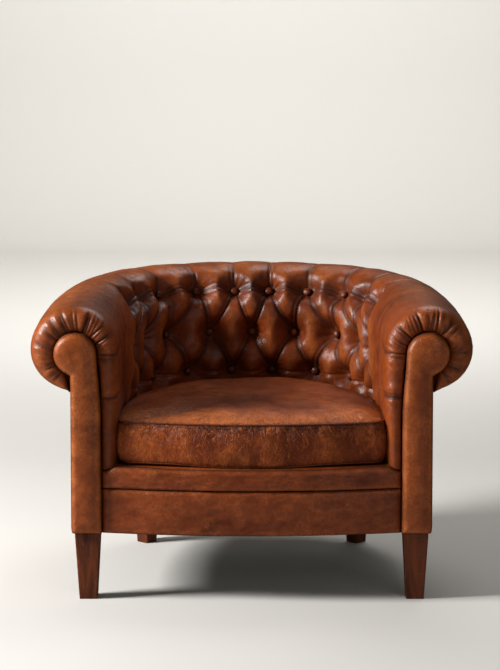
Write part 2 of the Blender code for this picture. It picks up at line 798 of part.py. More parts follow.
def make_webbing():
    """Crossed webbing under the frame: one sheet of strips, each cut to reach over the rail."""
    half = WEB_WIDTH / 2
    xs = sorted([x + end for x in WEB_ALONG for end in (-half, half)])
    ys = sorted([y + end for y in WEB_ACROSS for end in (-half, half)])
    low = FRAME_BOTTOM
    bm = bmesh.new()
    bmesh.ops.create_grid(bm, x_segments=len(xs) + 1, y_segments=len(ys) + 1, size=1)
    columns = sorted({round(v.co.x, 5) for v in bm.verts})
    lines = sorted({round(v.co.y, 5) for v in bm.verts})
    places = {v: (columns.index(round(v.co.x, 5)), lines.index(round(v.co.y, 5)))
              for v in bm.verts}
    holes = []
    for face in bm.faces:
        column = min(places[v][0] for v in face.verts)
        line = min(places[v][1] for v in face.verts)
        if column % 2 == 0 and line % 2 == 0:
            holes.append(face)
    for vert, (column, line) in places.items():
        x = xs[min(max(column - 1, 0), len(xs) - 1)]
        y = ys[min(max(line - 1, 0), len(ys) - 1)]
        if column in (0, len(xs) + 1):
            x = math.copysign(seat_half_width(y) + WEB_LAP, x)
        if line == 0:
            y = bowed(x) + POST_FRONT + FRONT_RAIL_THICKNESS - WEB_LAP
        elif line == len(ys) + 1:
            y = seat_depth(x) + WEB_LAP
        vert.co = Vector((x, FRONT_Y + y, low))
    bmesh.ops.delete(bm, geom=holes, context="FACES")
    grown = bmesh.ops.extrude_face_region(bm, geom=bm.faces[:])
    moved = [item for item in grown["geom"] if isinstance(item, bmesh.types.BMVert)]
    bmesh.ops.translate(bm, vec=(0, 0, WEB_THICKNESS), verts=moved)
    add_object("seat_webbing", bm, JUTE)


def rail_line(arc):
    section = Section(arc)
    return section.place(RAIL_IN, 0)


def seat_half_width(from_front):
    """Half the clear width between the rails at a place behind the front plane."""
    low, high = 0.0, TUB_LENGTH
    for _ in range(40):
        middle = (low + high) / 2
        if rail_line(middle).y - FRONT_Y > from_front:
            low = middle
        else:
            high = middle
    return rail_line(low).x


def seat_depth(x):
    """Distance behind the front plane of the back rail's inner face at a place across."""
    low, high = 0.0, TUB_LENGTH
    for _ in range(40):
        middle = (low + high) / 2
        if rail_line(middle).x < abs(x):
            low = middle
        else:
            high = middle
    return rail_line(low).y - FRONT_Y


# Springs

def spring_places():
    """Middles of the springs: four where the outer webs cross, and one in the middle."""
    across, front, back = WEB_ALONG[-1], WEB_ACROSS[1], WEB_ACROSS[3]
    return (("front_left", -across, front), ("front_right", across, front), ("middle", 0.0, WEB_ACROSS[2]),
            ("back_left", -across, back), ("back_right", across, back))


def make_springs():
    """Hourglass coil springs, their end coils flat on the webbing and under the deck."""
    half = SPRING_WIRE / 2
    low = FRAME_BOTTOM + WEB_THICKNESS + GAP + half
    high = DECK_BOTTOM - GAP - half
    count = SPRING_TURNS * SPRING_CELLS
    for name, x, y in spring_places():
        rings = []
        for i in range(count + 1):
            share = i / count
            turn = 2 * math.pi * SPRING_TURNS * share
            rise = min(max((share - SPRING_FLAT) / (1 - 2 * SPRING_FLAT), 0), 1)
            radius = SPRING_WAIST + (SPRING_RADIUS - SPRING_WAIST) * (2 * rise - 1) ** 2
            height = low + (high - low) * rise
            rings.append(keyed([Vector((x + (radius + out) * math.cos(turn),
                                        FRONT_Y + y + (radius + out) * math.sin(turn), height + up))
                                for out, up in ((-half, -half), (half, -half), (half, half), (-half, half))]))
        add_object(f"seat_spring_{name}", loft(rings), STEEL, 60)


# Legs

def make_leg(name, top_side, foot_side, place, turn):
    bm = bmesh.new()
    bmesh.ops.create_cube(bm, size=1)
    for vert in bm.verts:
        side = top_side if vert.co.z > 0 else foot_side
        vert.co = Vector((vert.co.x * side, vert.co.y * side, LEG_HEIGHT * (vert.co.z + 0.5)))
    upright = [edge for edge in bm.edges if abs(edge.verts[0].co.z - edge.verts[1].co.z) > 0.1]
    bmesh.ops.bevel(bm, geom=upright, offset=LEG_ROUND, segments=2, profile=0.5, affect="EDGES")
    leg = add_object(name, bm, WALNUT, 30)
    leg.location = place
    leg.rotation_euler = (0, 0, turn)
    return leg


def block_section(_section):
    far = RAIL_IN - GAP
    return [(far - BLOCK_WIDTH, RAIL_BOTTOM), (far, RAIL_BOTTOM), (far, RAIL_TOP),
            (far - BLOCK_WIDTH, RAIL_TOP)]


def make_legs():
    for side, name in ((-1, "left"), (1, "right")):
        make_leg(f"front_leg_{name}", LEG_TOP, LEG_FOOT,
                 (side * FRONT_LEG_X, FRONT_Y + LEG_TOP / 2, 0), 0)
        section = Section(side * BACK_LEG_AT)
        place = section.place(BACK_LEG_IN, 0)
        turn = math.atan2(section.outward.y, section.outward.x)
        make_leg(f"back_leg_{name}", BACK_LEG_TOP, BACK_LEG_FOOT, place, turn)
        start, end = station_span(side, BACK_LEG_AT, BLOCK_LENGTH)
        sweep(f"back_corner_block_{name}", start, end, block_section, BEECH)


make_tub_cover()
make_buttons()
make_top_rail()
make_curved_seat_rail()
make_posts()
make_outside_panels()
make_front()
make_facings()
make_seat()
make_cushion()
make_webbing()
make_springs()
make_legs()
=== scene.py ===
"""Looks of the worn leather club chair: tufted tub, loose cushion, keyhole arm fronts, walnut legs."""

import math

import bmesh
import bpy
import numpy as np
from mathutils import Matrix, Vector, noise


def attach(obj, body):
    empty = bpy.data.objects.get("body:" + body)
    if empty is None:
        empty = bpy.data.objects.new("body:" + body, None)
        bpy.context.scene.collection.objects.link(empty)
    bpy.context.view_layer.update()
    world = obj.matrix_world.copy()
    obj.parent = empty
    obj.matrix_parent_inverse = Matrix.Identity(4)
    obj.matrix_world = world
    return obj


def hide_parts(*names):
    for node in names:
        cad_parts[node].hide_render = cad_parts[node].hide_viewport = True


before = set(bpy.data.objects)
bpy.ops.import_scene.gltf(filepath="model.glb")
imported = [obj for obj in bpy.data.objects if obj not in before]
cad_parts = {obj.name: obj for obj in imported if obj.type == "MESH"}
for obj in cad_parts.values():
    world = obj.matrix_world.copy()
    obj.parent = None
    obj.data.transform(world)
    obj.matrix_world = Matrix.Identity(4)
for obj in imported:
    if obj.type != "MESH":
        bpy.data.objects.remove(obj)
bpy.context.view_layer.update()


# Camera, floor and light
# The camera stands 5.4 m in front of the chair at eye height and looks a little down.
# The key light stands high on the left, weak ones in front and above; the fourth lights the backdrop.

def linear(text):
    """A colour of the shader from its sRGB hex."""
    parts = [int(text[i:i + 2], 16) / 255 for i in (1, 3, 5)]
    return (*[p / 12.92 if p <= 0.04045 else ((p + 0.055) / 1.055) ** 2.4 for p in parts], 1)


def fill(tree, node, links):
    """Link or set the inputs of a node."""
    for key, value in dict(links).items():
        if isinstance(value, bpy.types.NodeSocket):
            tree.links.new(value, node.inputs[key])
        else:
            node.inputs[key].default_value = value


def add(tree, kind, links=(), **settings):
    """Add a node, set it, and link or fill its inputs."""
    made = tree.nodes.new(kind)
    for name, value in settings.items():
        setattr(made, name, value)
    fill(tree, made, links)
    return made


def maths(tree, operation, *values, **settings):
    """One step of arithmetic on sockets or numbers."""
    return add(tree, "ShaderNodeMath", dict(enumerate(values)), operation=operation, **settings).outputs[0]


def blend(tree, share, first, second):
    """The first colour turning into the second; each is a socket or an sRGB hex."""
    first, second = (linear(colour) if isinstance(colour, str) else colour for colour in (first, second))
    return add(tree, "ShaderNodeMix", {0: share, 6: first, 7: second}, data_type="RGBA").outputs[2]


def new_surface(name):
    """A material with its node tree, its shader and the place on the piece."""
    made = bpy.data.materials.new(name)
    made.use_nodes = True
    tree = made.node_tree
    return made, tree, tree.nodes["Principled BSDF"], add(tree, "ShaderNodeTexCoord").outputs["Object"]


camera = bpy.data.objects.new("camera", bpy.data.cameras.new("camera"))
camera.data.lens = 125.7
camera.data.sensor_width = 36
camera.location = (-0.0037, -5.360, 1.338)
camera.rotation_euler = (math.radians(90 - 8.52), 0, 0)
bpy.context.scene.collection.objects.link(camera)
bpy.context.scene.camera = camera
bpy.context.scene.view_settings.view_transform = "Standard"

HALF_FLOOR = 8
SWEEP_START, SWEEP_RADIUS = 6.4, 0.9
side_line = [(-HALF_FLOOR, 0), (SWEEP_START, 0)]
for step in range(1, 13):
    turn = math.radians(90 * step / 12)
    side_line.append((SWEEP_START + SWEEP_RADIUS * math.sin(turn), SWEEP_RADIUS * (1 - math.cos(turn))))
side_line.append((SWEEP_START + SWEEP_RADIUS, 6))
floor_points = [(x, y, z) for y, z in side_line for x in (-HALF_FLOOR, HALF_FLOOR)]
floor_mesh = bpy.data.meshes.new("studio floor")
floor_mesh.from_pydata(floor_points, [], [(k, k + 1, k + 3, k + 2)
                                          for k in range(0, len(floor_points) - 2, 2)])
floor_mesh.shade_smooth()
floor = bpy.data.objects.new("studio_floor", floor_mesh)
bpy.context.scene.collection.objects.link(floor)
pale, tree, shader, _ = new_surface("pale studio paint")
seen = add(tree, "ShaderNodeLightPath").outputs["Is Glossy Ray"]
fill(tree, shader, {"Base Color": blend(tree, seen, "#D8D5CF", "#4A4743"), "Roughness": 0.85})
floor_mesh.materials.append(pale)

for name, place, target, size, power in (("key", (-3.4, -0.95, 2.15), (0, 0, 0.4), 0.9, 270),
                                         ("fill", (2.2, -4.2, 1.7), (0, 0, 0.4), 2.4, 15),
                                         ("top", (0.6, 1.3, 2.8), (0, 0, 0.4), 1.3, 24),
                                         ("backdrop", (0, 3.4, 3.4), (0, 7.3, 0.9), 3.0, 190)):
    light = bpy.data.objects.new(f"{name}_light", bpy.data.lights.new(f"{name} light", "AREA"))
    light.data.size = size
    light.data.energy = power
    light.location = place
    light.rotation_euler = (Vector(target) - Vector(place)).to_track_quat("-Z", "Y").to_euler()
    bpy.context.scene.collection.objects.link(light)

world = bpy.data.worlds.new("studio")
world.use_nodes = True
tree = world.node_tree
rays = add(tree, "ShaderNodeLightPath").outputs
strength = maths(tree, "MULTIPLY_ADD", rays["Is Camera Ray"], 0.64, 0.16)
strength = maths(tree, "MULTIPLY_ADD", rays["Is Glossy Ray"], -0.10, strength)
fill(tree, tree.nodes["Background"], {"Color": linear("#E9E7E3"), "Strength": strength})
bpy.context.scene.world = world


# Tufted inside and roll
# One leather cover over stuffing, drawn down by twine at 29 buttons and folded between them.
# At the arm fronts it is gathered round the keyhole facing in pleats.

def spread(tree, value, low, high, to_low=0.0, to_high=1.0):
    """A value between two limits, mapped to two others."""
    return add(tree, "ShaderNodeMapRange", {"Value": value, "From Min": low, "From Max": high,
                                            "To Min": to_low, "To Max": to_high}).outputs[0]


def speckle(tree, where, scale, detail, rough=0.5, bent=0.0):
    """Noise in patches about one over the scale wide, in metres."""
    return add(tree, "ShaderNodeTexNoise", {"Vector": where, "Scale": scale, "Detail": detail,
                                            "Roughness": rough, "Distortion": bent}).outputs["Fac"]


def bumps(tree, shader, *layers):
    """Stack bumps on a shader, each a height, a strength, a depth in metres and whether it is hollow."""
    links = {}
    for height, strength, depth, hollow in layers:
        links.update({"Height": height, "Strength": strength, "Distance": depth})
        links["Normal"] = add(tree, "ShaderNodeBump", links, invert=hollow).outputs[0]
    tree.links.new(links["Normal"], shader.inputs["Normal"])


def leather(name, light, middle, dark, seed, worn=1.0, shine=0.34):
    """Old aniline leather: patina, painted shade with some grime in folds and gaps, rubbed places with painted
    highlights, fine creases with painted highlight and shade, cracks and pebble grain.
    """
    made, tree, shader, where = new_surface(name)
    where = add(tree, "ShaderNodeVectorMath", {0: where, 1: (seed * 0.37, seed * 0.71, seed * 0.13)},
                operation="ADD").outputs[0]
    crease, wear, pucker = (add(tree, "ShaderNodeAttribute", attribute_name=label).outputs["Fac"]
                            for label in ("crease", "wear", "pucker"))

    # Patina in patches of about 200 mm, and mottling of about 25 mm and 4 mm
    patch = speckle(tree, where, 5.0, 4, 0.6, 0.8)
    mottle = speckle(tree, where, 38, 7, 0.68, 0.5)
    speck = speckle(tree, where, 240, 4, 0.7)
    tone = maths(tree, "ADD", patch, maths(tree, "MULTIPLY", mottle, 0.32))
    colour = blend(tree, spread(tree, tone, 0.36, 0.80), dark, middle)

    # Rubbed places lose their dark finish first where the mottling is light; the same mask paints highlights on
    # rolled edges, high places and the cushion's front
    rub_and_highlight = spread(tree, maths(tree, "ADD", mottle, speck), 0.90, 1.30)
    rub_and_highlight = maths(tree, "ADD", rub_and_highlight, 0.40)
    # The worn share scales the wear and the painted highlight together
    for share in (wear, worn):
        rub_and_highlight = maths(tree, "MULTIPLY", rub_and_highlight, share, use_clamp=True)
    colour = blend(tree, rub_and_highlight, colour, light)

    # Fine cracks, bent by noise, seen only in patches
    bend = add(tree, "ShaderNodeTexNoise", {"Vector": where, "Scale": 26, "Detail": 3}).outputs["Color"]
    bend = add(tree, "ShaderNodeVectorMath", {0: bend, "Scale": 0.05}, operation="SCALE").outputs[0]
    bend = add(tree, "ShaderNodeVectorMath", {0: where, 1: bend}, operation="ADD").outputs[0]
    crack = add(tree, "ShaderNodeTexVoronoi", {"Vector": bend, "Scale": 46},
                feature="DISTANCE_TO_EDGE").outputs["Distance"]
    crack = maths(tree, "MULTIPLY", spread(tree, crack, 0.0, 0.035, 1.0, 0.0), spread(tree, patch, 0.46, 0.62))
    colour = blend(tree, maths(tree, "MULTIPLY", crack, 0.45), colour, dark)

    # Pale scratches about 1 mm wide and 25 mm long, in a few patches
    scratch = add(tree, "ShaderNodeMapping", {"Vector": bend, "Rotation": (0.5, 0.9, 0.4),
                                              "Scale": (1, 1, 0.07)}).outputs[0]
    scratch = spread(tree, speckle(tree, scratch, 230, 1), 0.69, 0.75, 0.0, 0.55)
    scratch = maths(tree, "MULTIPLY", scratch, spread(tree, mottle, 0.48, 0.60))
    colour = blend(tree, scratch, colour, light)

    # Fine creases fan down from a seam where the leather is gathered by its stitches; their ridges get a painted
    # highlight and their gaps painted shade
    fan = add(tree, "ShaderNodeMapping", {"Vector": bend, "Rotation": (0, 0.30, 0),
                                          "Scale": (1, 1, 0.26)}).outputs[0]
    fan = spread(tree, speckle(tree, fan, 150, 4, 0.62, 0.8), 0.36, 0.64)
    ridge = maths(tree, "MULTIPLY", maths(tree, "POWER", fan, 3.0), pucker)
    colour = blend(tree, maths(tree, "MULTIPLY", ridge, 0.62), colour, light)
    gap = maths(tree, "MULTIPLY", maths(tree, "SUBTRACT", 1.0, fan), pucker)
    colour = blend(tree, maths(tree, "MULTIPLY", gap, 0.70), colour, dark)

    # Painted shade darkens the folds, gaps and hidden edges, with some wax and dirt in the folds; these places are
    # also duller
    depth = maths(tree, "MULTIPLY", crease, 0.88, use_clamp=True)
    rough = spread(tree, mottle, 0.3, 0.7, 0.27, 0.40)
    fill(tree, shader, {"Base Color": blend(tree, depth, colour, "#1E0C06"),
                        "Roughness": maths(tree, "ADD", rough, maths(tree, "MULTIPLY", crease, 0.25)),
                        "Specular IOR Level": shine})

    # Pebble grain of 1.5 mm, and soft wrinkles of about 12 mm
    grain = add(tree, "ShaderNodeTexVoronoi", {"Vector": where, "Scale": 640}).outputs["Distance"]
    wrinkle = speckle(tree, bend, 85, 6, 0.62)
    bumps(tree, shader, (maths(tree, "ADD", grain, speck), 0.35, 0.0006, False),
          (wrinkle, 0.40, 0.0014, False), (crack, 0.5, 0.0006, True), (gap, 0.8, 0.0024, True))
    return made


def add_rings(name, tubes, surface, **marks):
    """A piece of closed tubes, an array of tubes by rings by points by 3; marks are values at the points."""
    number, count, size, _ = tubes.shape
    here = np.arange(number * count * size).reshape(number, count, size)
    after = np.roll(here, -1, axis=2)
    quads = np.stack([here[:, :-1], after[:, :-1], after[:, 1:], here[:, 1:]], axis=-1).reshape(-1, 4)
    mesh = bpy.data.meshes.new(name)
    mesh.from_pydata(tubes.reshape(-1, 3).tolist(), [],
                     quads.tolist() + here[:, 0, ::-1].tolist() + here[:, -1].tolist())
    bm = bmesh.new()
    bm.from_mesh(mesh)
    bmesh.ops.recalc_face_normals(bm, faces=bm.faces)
    bm.to_mesh(mesh)
    bm.free()
    mesh.shade_smooth()
    for label, values in marks.items():
        layer = mesh.attributes.new(label, "FLOAT", "POINT")
        values = np.broadcast_to(np.clip(values, 0, 1), tubes.shape[:-1])
        layer.data.foreach_set("value", values.astype(np.float32).ravel())
    mesh.materials.append(surface)
    piece = bpy.data.objects.new(name, mesh)
    bpy.context.scene.collection.objects.link(piece)
    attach(piece, "root")
    return piece


def ripple(points, scale, octaves=3):
    """Smooth noise at points, about -1 to 1."""
    flat = points.reshape(-1, 3)
    values = [noise.fractal(Vector(point) * scale, 0.9, 2.1, octaves) for point in flat.tolist()]
    return np.array(values).reshape(points.shape[:-1])


def eased(share):
    """A share from 0 to 1 with a soft start and end."""
    share = np.clip(share, 0, 1)
    return share * share * (3 - 2 * share)


def puffed(distance, reach):
    """A round edge: none at the edge, one from the reach on."""
    share = np.clip(np.abs(distance) / reach, 0, 1)
    return np.sqrt(1 - (1 - share) ** 2)


def stuffed(distance):
    """Tight leather beside a fold: a sharp roll at the fold, then a broad low dome."""
    share = np.clip(np.abs(distance) / 0.040, 0, 1)
    return 0.50 * puffed(distance, 0.0060) + 0.50 * (1 - (1 - share) ** 2)


def from_pleat(value, first, last):
    """How far a value lies from the nearest pleat, of those at each half from the first to the last."""
    return value - np.clip(np.floor(value) + 0.5, first, last)


FRONT = -0.360             # front plane of the arm fronts
FOOT = 0.1503              # lower edge of all the outer leather
CURVE_START = 0.040        # from the front to where the plan begins to curve
TUCK = CURVE_START - 0.0143    # from there forward to the back of the facing
HALF_WIDTH, DEPTH = 0.291, 0.525   # the inside line in plan
ROLL_X, ROLL_DEPTH = 0.385, 0.620  # the roll's line in plan
PLAN_POWER, ROLL_POWER = 2.6, 3.1  # an ellipse has 2, a rectangle far more
ROLL_R = 0.097
FLATTER = 0.075            # share that weight and wear have pressed off the roll's underside
UNDER = math.radians(-83)
UNDERSIDE = (1 - FLATTER) * ROLL_R * math.sin(UNDER)
PITCH, ROW_PITCH = 0.094, 0.100
LAST_FOLD = 4.5            # in pitches from the middle
BOTTOM_ROW = -1.17
DECK_TOP = 0.3003
BUTTON_HEIGHTS = (0.417, 0.510, 0.617)     # of the three rows, at the back
ROLL_Z, ROLL_FALL = 0.572, 0.020   # middle of the roll at the back, and how much lower it ends
TUFT_HEIGHT = 0.0155       # rise of a full dome over its folds
BUTTON_PIT = 0.021
HEAD_X, HEAD_Z, HEAD_R = 0.383, 0.547, 0.0465      # round head of the keyhole facing
FACING_IN = 0.328          # its straight inner edge
HEAD_CREASE, LOW_CREASE = (0.546, 0.0045), (0.450, 0.0050)  # height and depth of two creases on the arm

plan_angle = np.linspace(math.pi / 2, 0, 721)
reach = ((np.cos(plan_angle) / HALF_WIDTH) ** PLAN_POWER
         + (np.sin(plan_angle) / DEPTH) ** PLAN_POWER) ** (-1 / PLAN_POWER)
plan = np.stack([reach * np.cos(plan_angle), CURVE_START + reach * np.sin(plan_angle)], 1)
plan[0, 0] = 0
plan_arc = np.concatenate([[0], np.cumsum(np.hypot(*np.diff(plan, axis=0).T))])
TUB = plan_arc[-1]


def on_plan(arc):
    return np.stack([np.interp(arc, plan_arc, plan[:, k]) for k in (0, 1)], 1)


def sections(arcs):
    """Inside line, outward direction, distance and height of the roll, and button heights along the tub."""
    side = np.where(arcs < 0, -1.0, 1.0)
    at = np.minimum(np.abs(arcs), TUB)
    point = on_plan(at)
    step = 0.012           # the direction is taken across twice this length
    behind = on_plan(np.abs(at - step))
    behind[:, 0] *= np.sign(at - step)
    along = on_plan(np.minimum(at + step, TUB)) - behind
    along /= np.hypot(*along.T)[:, None]
    outward = np.stack([-along[:, 1], along[:, 0]], 1)
    outward[at >= TUB - 1e-9] = (1, 0)
    low, high = np.full(len(at), 0.03), np.full(len(at), 0.30)
    for _ in range(40):
        middle = (low + high) / 2
        across = np.abs(point[:, 0] + outward[:, 0] * middle) / ROLL_X
        deep = np.maximum(point[:, 1] + outward[:, 1] * middle - CURVE_START, 0) / ROLL_DEPTH
        inside = across ** ROLL_POWER + deep ** ROLL_POWER < 1
        low, high = np.where(inside, middle, low), np.where(inside, high, middle)
    back = np.maximum(point[:, 1] - CURVE_START, 0) / DEPTH
    point[:, 1] += FRONT
    point[:, 0] *= side
    outward[:, 0] *= side
    button_rows = np.array(BUTTON_HEIGHTS) - 0.009 * (1 - back)[:, None]
    return point, outward, low, ROLL_Z - ROLL_FALL * at / TUB, button_rows


def pitch_at(row):
    """Pitch of the folds at a row: the top buttons stand closer."""
    return PITCH * (1 - 0.16 * eased(row - 1))


def arc_of(column, row):
    """Place along the tub: in pitches up to the last fold, then as a share of the plain arm."""
    fold = LAST_FOLD * pitch_at(row)
    plain = fold + (TUB - fold) * np.maximum(np.abs(column) - LAST_FOLD, 0)
    return np.where(np.abs(column) <= LAST_FOLD, column * pitch_at(row), np.sign(column) * plain)


def skin(roll_from, roll_z, button_rows, row):
    """Plain leather: distance out from the roll's line, height and normal, for sections by rows."""
    low, middle, high = (button_rows[:, k:k + 1] for k in range(3))
    roll_z, roll_from = roll_z[:, None], roll_from[:, None]
    row = np.broadcast_to(row, (len(button_rows), row.shape[-1]))
    height = np.where(row < 0, low - (low - DECK_TOP) * row / BOTTOM_ROW,
                      np.where(row < 1, low + (middle - low) * row, middle + (high - middle) * (row - 1)))
    over = height - roll_z
    share = (height - DECK_TOP) / (roll_z - DECK_TOP)
    out = np.where(over > 0, -np.sqrt(np.maximum(ROLL_R ** 2 - over ** 2, 0)),
                   -ROLL_R + (ROLL_R - roll_from) * (1 - share) ** 2)
    out_n, up_n = np.where(over > 0, out / ROLL_R, -1), np.where(over > 0, over / ROLL_R, 0)
    start = math.pi - np.arcsin((high - roll_z) / ROLL_R)
    turn = start + (UNDER - start) * (row - 2) / 4
    on_roll = row > 2
    radius = ROLL_R * (1 - FLATTER * eased(turn / UNDER))
    return (np.where(on_roll, np.cos(turn) * radius, out),
            np.where(on_roll, roll_z + np.sin(turn) * radius, height),
            np.where(on_roll, np.cos(turn), out_n), np.where(on_roll, np.sin(turn), up_n))


def place(point, outward, roll_from, out, height):
    """Points in space from distances out and heights."""
    run = roll_from[:, None] + out
    return np.stack([point[:, :1] + outward[:, :1] * run, point[:, 1:] + outward[:, 1:] * run, height], -1)


button_places = [(k + 0.5, 0) for k in range(-5, 5)] + [(k, 1) for k in range(-4, 5)] + \
                [(k + 0.5, 2) for k in range(-5, 5)]


def tufting(arc, row):
    """Rise of the tufted leather over the plain, and the painted shade at each point, deep in a fold or round a
    button.
    """
    pitch = pitch_at(row)
    column = arc / pitch
    half = np.abs(column)
    diagonal = 1 / math.hypot(1 / PITCH, 0.5 / ROW_PITCH)
    rising = from_pleat(half + row / 2, 0.5, LAST_FOLD) * diagonal
    falling = from_pleat(half - row / 2, -0.5, LAST_FOLD - 1) * diagonal
    upright = from_pleat(half, 0.5, LAST_FOLD) * pitch
    bowed = 2 + 0.014 * (1 + np.cos(2 * math.pi * column))
    diamond = (row >= 0) & (row <= bowed)
    past = np.maximum(row - bowed, -row)
    rise = np.where(diamond, stuffed(rising) * stuffed(falling), stuffed(upright) ** (2 - eased(past / 0.5)))
    to_row = np.where(diamond, np.minimum(row, bowed - row), past) * ROW_PITCH
    linked = half < LAST_FOLD
    rise = np.where(linked, rise * (0.35 + 0.65 * stuffed(to_row)), rise)
    arm_fade = 1 - eased((half - LAST_FOLD) / 1.1)
    fade = np.where(row > 2, 1 - 0.84 * eased((row - 2) / 1.3) - 0.16 * eased((row - 3.0) / 1.4), 1)
    fade = fade * np.where(row < 0, 1 - eased(-row / 0.3), 1) * arm_fade
    height = TUFT_HEIGHT * rise * fade

    # Small creases turn round each button
    nearest = np.full(height.shape, 9.0)
    swirl = np.zeros(height.shape)
    for number, (at, line) in enumerate(button_places):
        across, up = (column - at) * pitch, (row - line) * ROW_PITCH
        away = np.hypot(across, up)
        turn = np.arctan2(up, across)
        folds = np.cos(turn * 9 + 2.1 * math.sin(number * 7.3) + 1.4 * np.sin(turn * 2 + number))
        swirl = np.where(away < nearest, folds * np.exp(-((away - 0.017) / 0.011) ** 2), swirl)
        nearest = np.minimum(nearest, away)
    height *= 1 - np.exp(-(nearest / 0.020) ** 2)
    proud = -0.0050 * eased((row + 0.3) / 0.3) * (1 - eased((row - 2) / 1.3)) * arm_fade
    height = height + proud - BUTTON_PIT * np.exp(-(nearest / 0.029) ** 2.6) + 0.0013 * swirl

    # The leather laps at each fold, which leaves a second line beside it
    def lap_line(distance):
        return np.exp(-(distance / 0.0028) ** 2)

    lap = np.where(diamond, np.maximum(lap_line(rising - 0.0085), lap_line(falling + 0.0085)),
                   lap_line(upright - 0.0080))
    lap = np.where(linked, np.maximum(lap, lap_line(to_row - 0.009) * (np.abs(row - 2) < 0.5)), lap)
    height -= 0.0022 * lap * fade * (nearest > 0.016)
    fold = np.where(diamond, np.minimum(np.abs(rising), np.abs(falling)), np.abs(upright))
    fold = np.where(linked & (row > 1.5), np.minimum(fold, to_row), fold)
    # Painted shade along the folds, in the button pits and along the lapped lines
    dark = np.maximum(np.exp(-fold / 0.0038) * fade, np.exp(-(nearest / 0.013) ** 4) * 0.9)
    return height, np.maximum(dark, 0.55 * lap * fade), nearest


def fold_line(offset, depth, width=0.0034):
    """Cross section of a pleat with two lines: the fold itself and the edge of the leather lapped on it."""
    return depth * (np.exp(-(offset / width) ** 2) + 0.55 * np.exp(-((offset - 0.0075) / (width * 0.8)) ** 2))


cover_leather = leather("worn cognac leather", "#C06C30", "#863B15", "#3A1407", 1)
columns = np.concatenate([np.linspace(0, LAST_FOLD, 152), LAST_FOLD + np.linspace(0, 1, 53)[1:]])
columns = np.concatenate([-columns[:0:-1], columns])
row = np.concatenate([np.linspace(BOTTOM_ROW, 2, 112), np.linspace(2, 3.3, 44)[1:],
                      np.linspace(3.3, 6, 42)[1:]])[None, :]
arcs = arc_of(columns[:, None], row)
size = arcs.shape
all_rows = np.broadcast_to(row, size)
point, outward, roll_from, roll_z, button_rows = sections(arcs.ravel())
out, height, out_n, up_n = (part.reshape(size) for part in skin(
    roll_from, roll_z, button_rows, all_rows.reshape(-1, 1)))
rise, dark, nearest = tufting(arcs, all_rows)
foot_out = 0.003 * (1 - eased((row + 0.3) / 0.5))
out = out + foot_out * eased((np.abs(arcs) - 0.25) / 0.15)

# Two creases on the plain arm, level with the head of the facing and below it
from_front = TUB - np.abs(arcs)
for (level, depth), length in ((HEAD_CREASE, 0.10), (LOW_CREASE, 0.19)):
    share = (1 - eased(from_front / length)) * (row < 2)
    line = fold_line(height - level - 0.10 * from_front, depth)
    rise = rise - line * share
    # The creases get painted shade
    dark = np.maximum(dark, line / depth * share * 0.75)

# Slack folds stand upright on the plain arm, past the last buttons
for at, lean, depth in ((0.30, 0.06, 0.0042), (0.52, -0.05, 0.0032), (0.74, 0.04, 0.0022)):
    shift = np.abs(columns)[:, None] - LAST_FOLD - at - lean * (row - 0.8) ** 2 * 0.4
    line = fold_line(shift * 0.27, depth, 0.0045) * eased((row + 0.9) / 0.5) * (1 - eased((row - 1.7) / 0.9))
    rise = rise - line
    # The slack folds get painted shade
    dark = np.maximum(dark, line / 0.008)

# Uneven stuffing: lumps about 150 mm and 40 mm wide
body = place(point, outward, roll_from, out.reshape(-1, 1), height.reshape(-1, 1)).reshape(*size, 3)
uneven = ripple(body, 7.0)
lumps = 0.0016 * ripple(body + 3, 26.0) * (1 - 0.4 * eased((np.abs(arcs) / PITCH - 4.4) / 0.8))
rise = rise * (1 + 0.14 * uneven) + lumps * np.where(row > 2.6, 0.5, 1) * (nearest > 0.012)
rise = np.where(row <= BOTTOM_ROW, np.minimum(rise, 0), rise)
body = place(point, outward, roll_from, (out + out_n * rise).reshape(-1, 1),
             (height + up_n * rise).reshape(-1, 1)).reshape(*size, 3)
# Lighter on the high puffs and along the roll's top: rubbed wear with a painted highlight
wear = eased((rise - 0.002) / 0.013) * 0.55 + 0.65 * np.exp(-((row - 3.4) / 0.9) ** 2) * (0.6 + 0.5 * uneven)


def hidden(point, outward, roll_from, roll_z):
    """Back of the padding, round the frame: four points for each section."""
    bottom = roll_z - 0.0347   # just under the top rail
    out = np.broadcast_to([0.004, 0.004, -0.040, -0.040], (len(roll_z), 4))
    up = np.stack([roll_z + UNDERSIDE, bottom, bottom, np.full(len(roll_z), DECK_TOP)], 1)
    return place(point, outward, roll_from, out, up)


# The cover turns in over the arm front: a rounded nose, then a face drawn in to the facing's edge
NOSE = 0.040
HEAD_OUT = HEAD_X - ROLL_X
FACING_GAP = 0.0008
STRIP_OUT = 0.0108         # where the gathers under the roll end, at the top of the arm panel
WIDEST = 0.566             # share of the way in that is done where the nose stands furthest forward
last = math.pi - math.asin(TUCK / NOSE)
steps = np.linspace(0, 1, 31)[1:, None]
turn = last * steps
beyond = np.clip((turn - math.pi / 2) / (last - math.pi / 2), 0, 1) * math.pi / 2
inward = np.where(turn > math.pi / 2, WIDEST + (1 - WIDEST) * np.sin(beyond),
                  (1 - np.cos(turn)) / (1 - math.cos(last)))
forward = np.where(turn > math.pi / 2, TUCK + (NOSE - TUCK) * np.cos(beyond), NOSE * np.sin(turn))
neck = math.radians(-58)
ring_r = HEAD_R + FACING_GAP
neck_x, neck_z = HEAD_OUT + ring_r * math.cos(neck), HEAD_Z + ring_r * math.sin(neck)
noses, nose_dark, nose_wear = {}, {}, {}
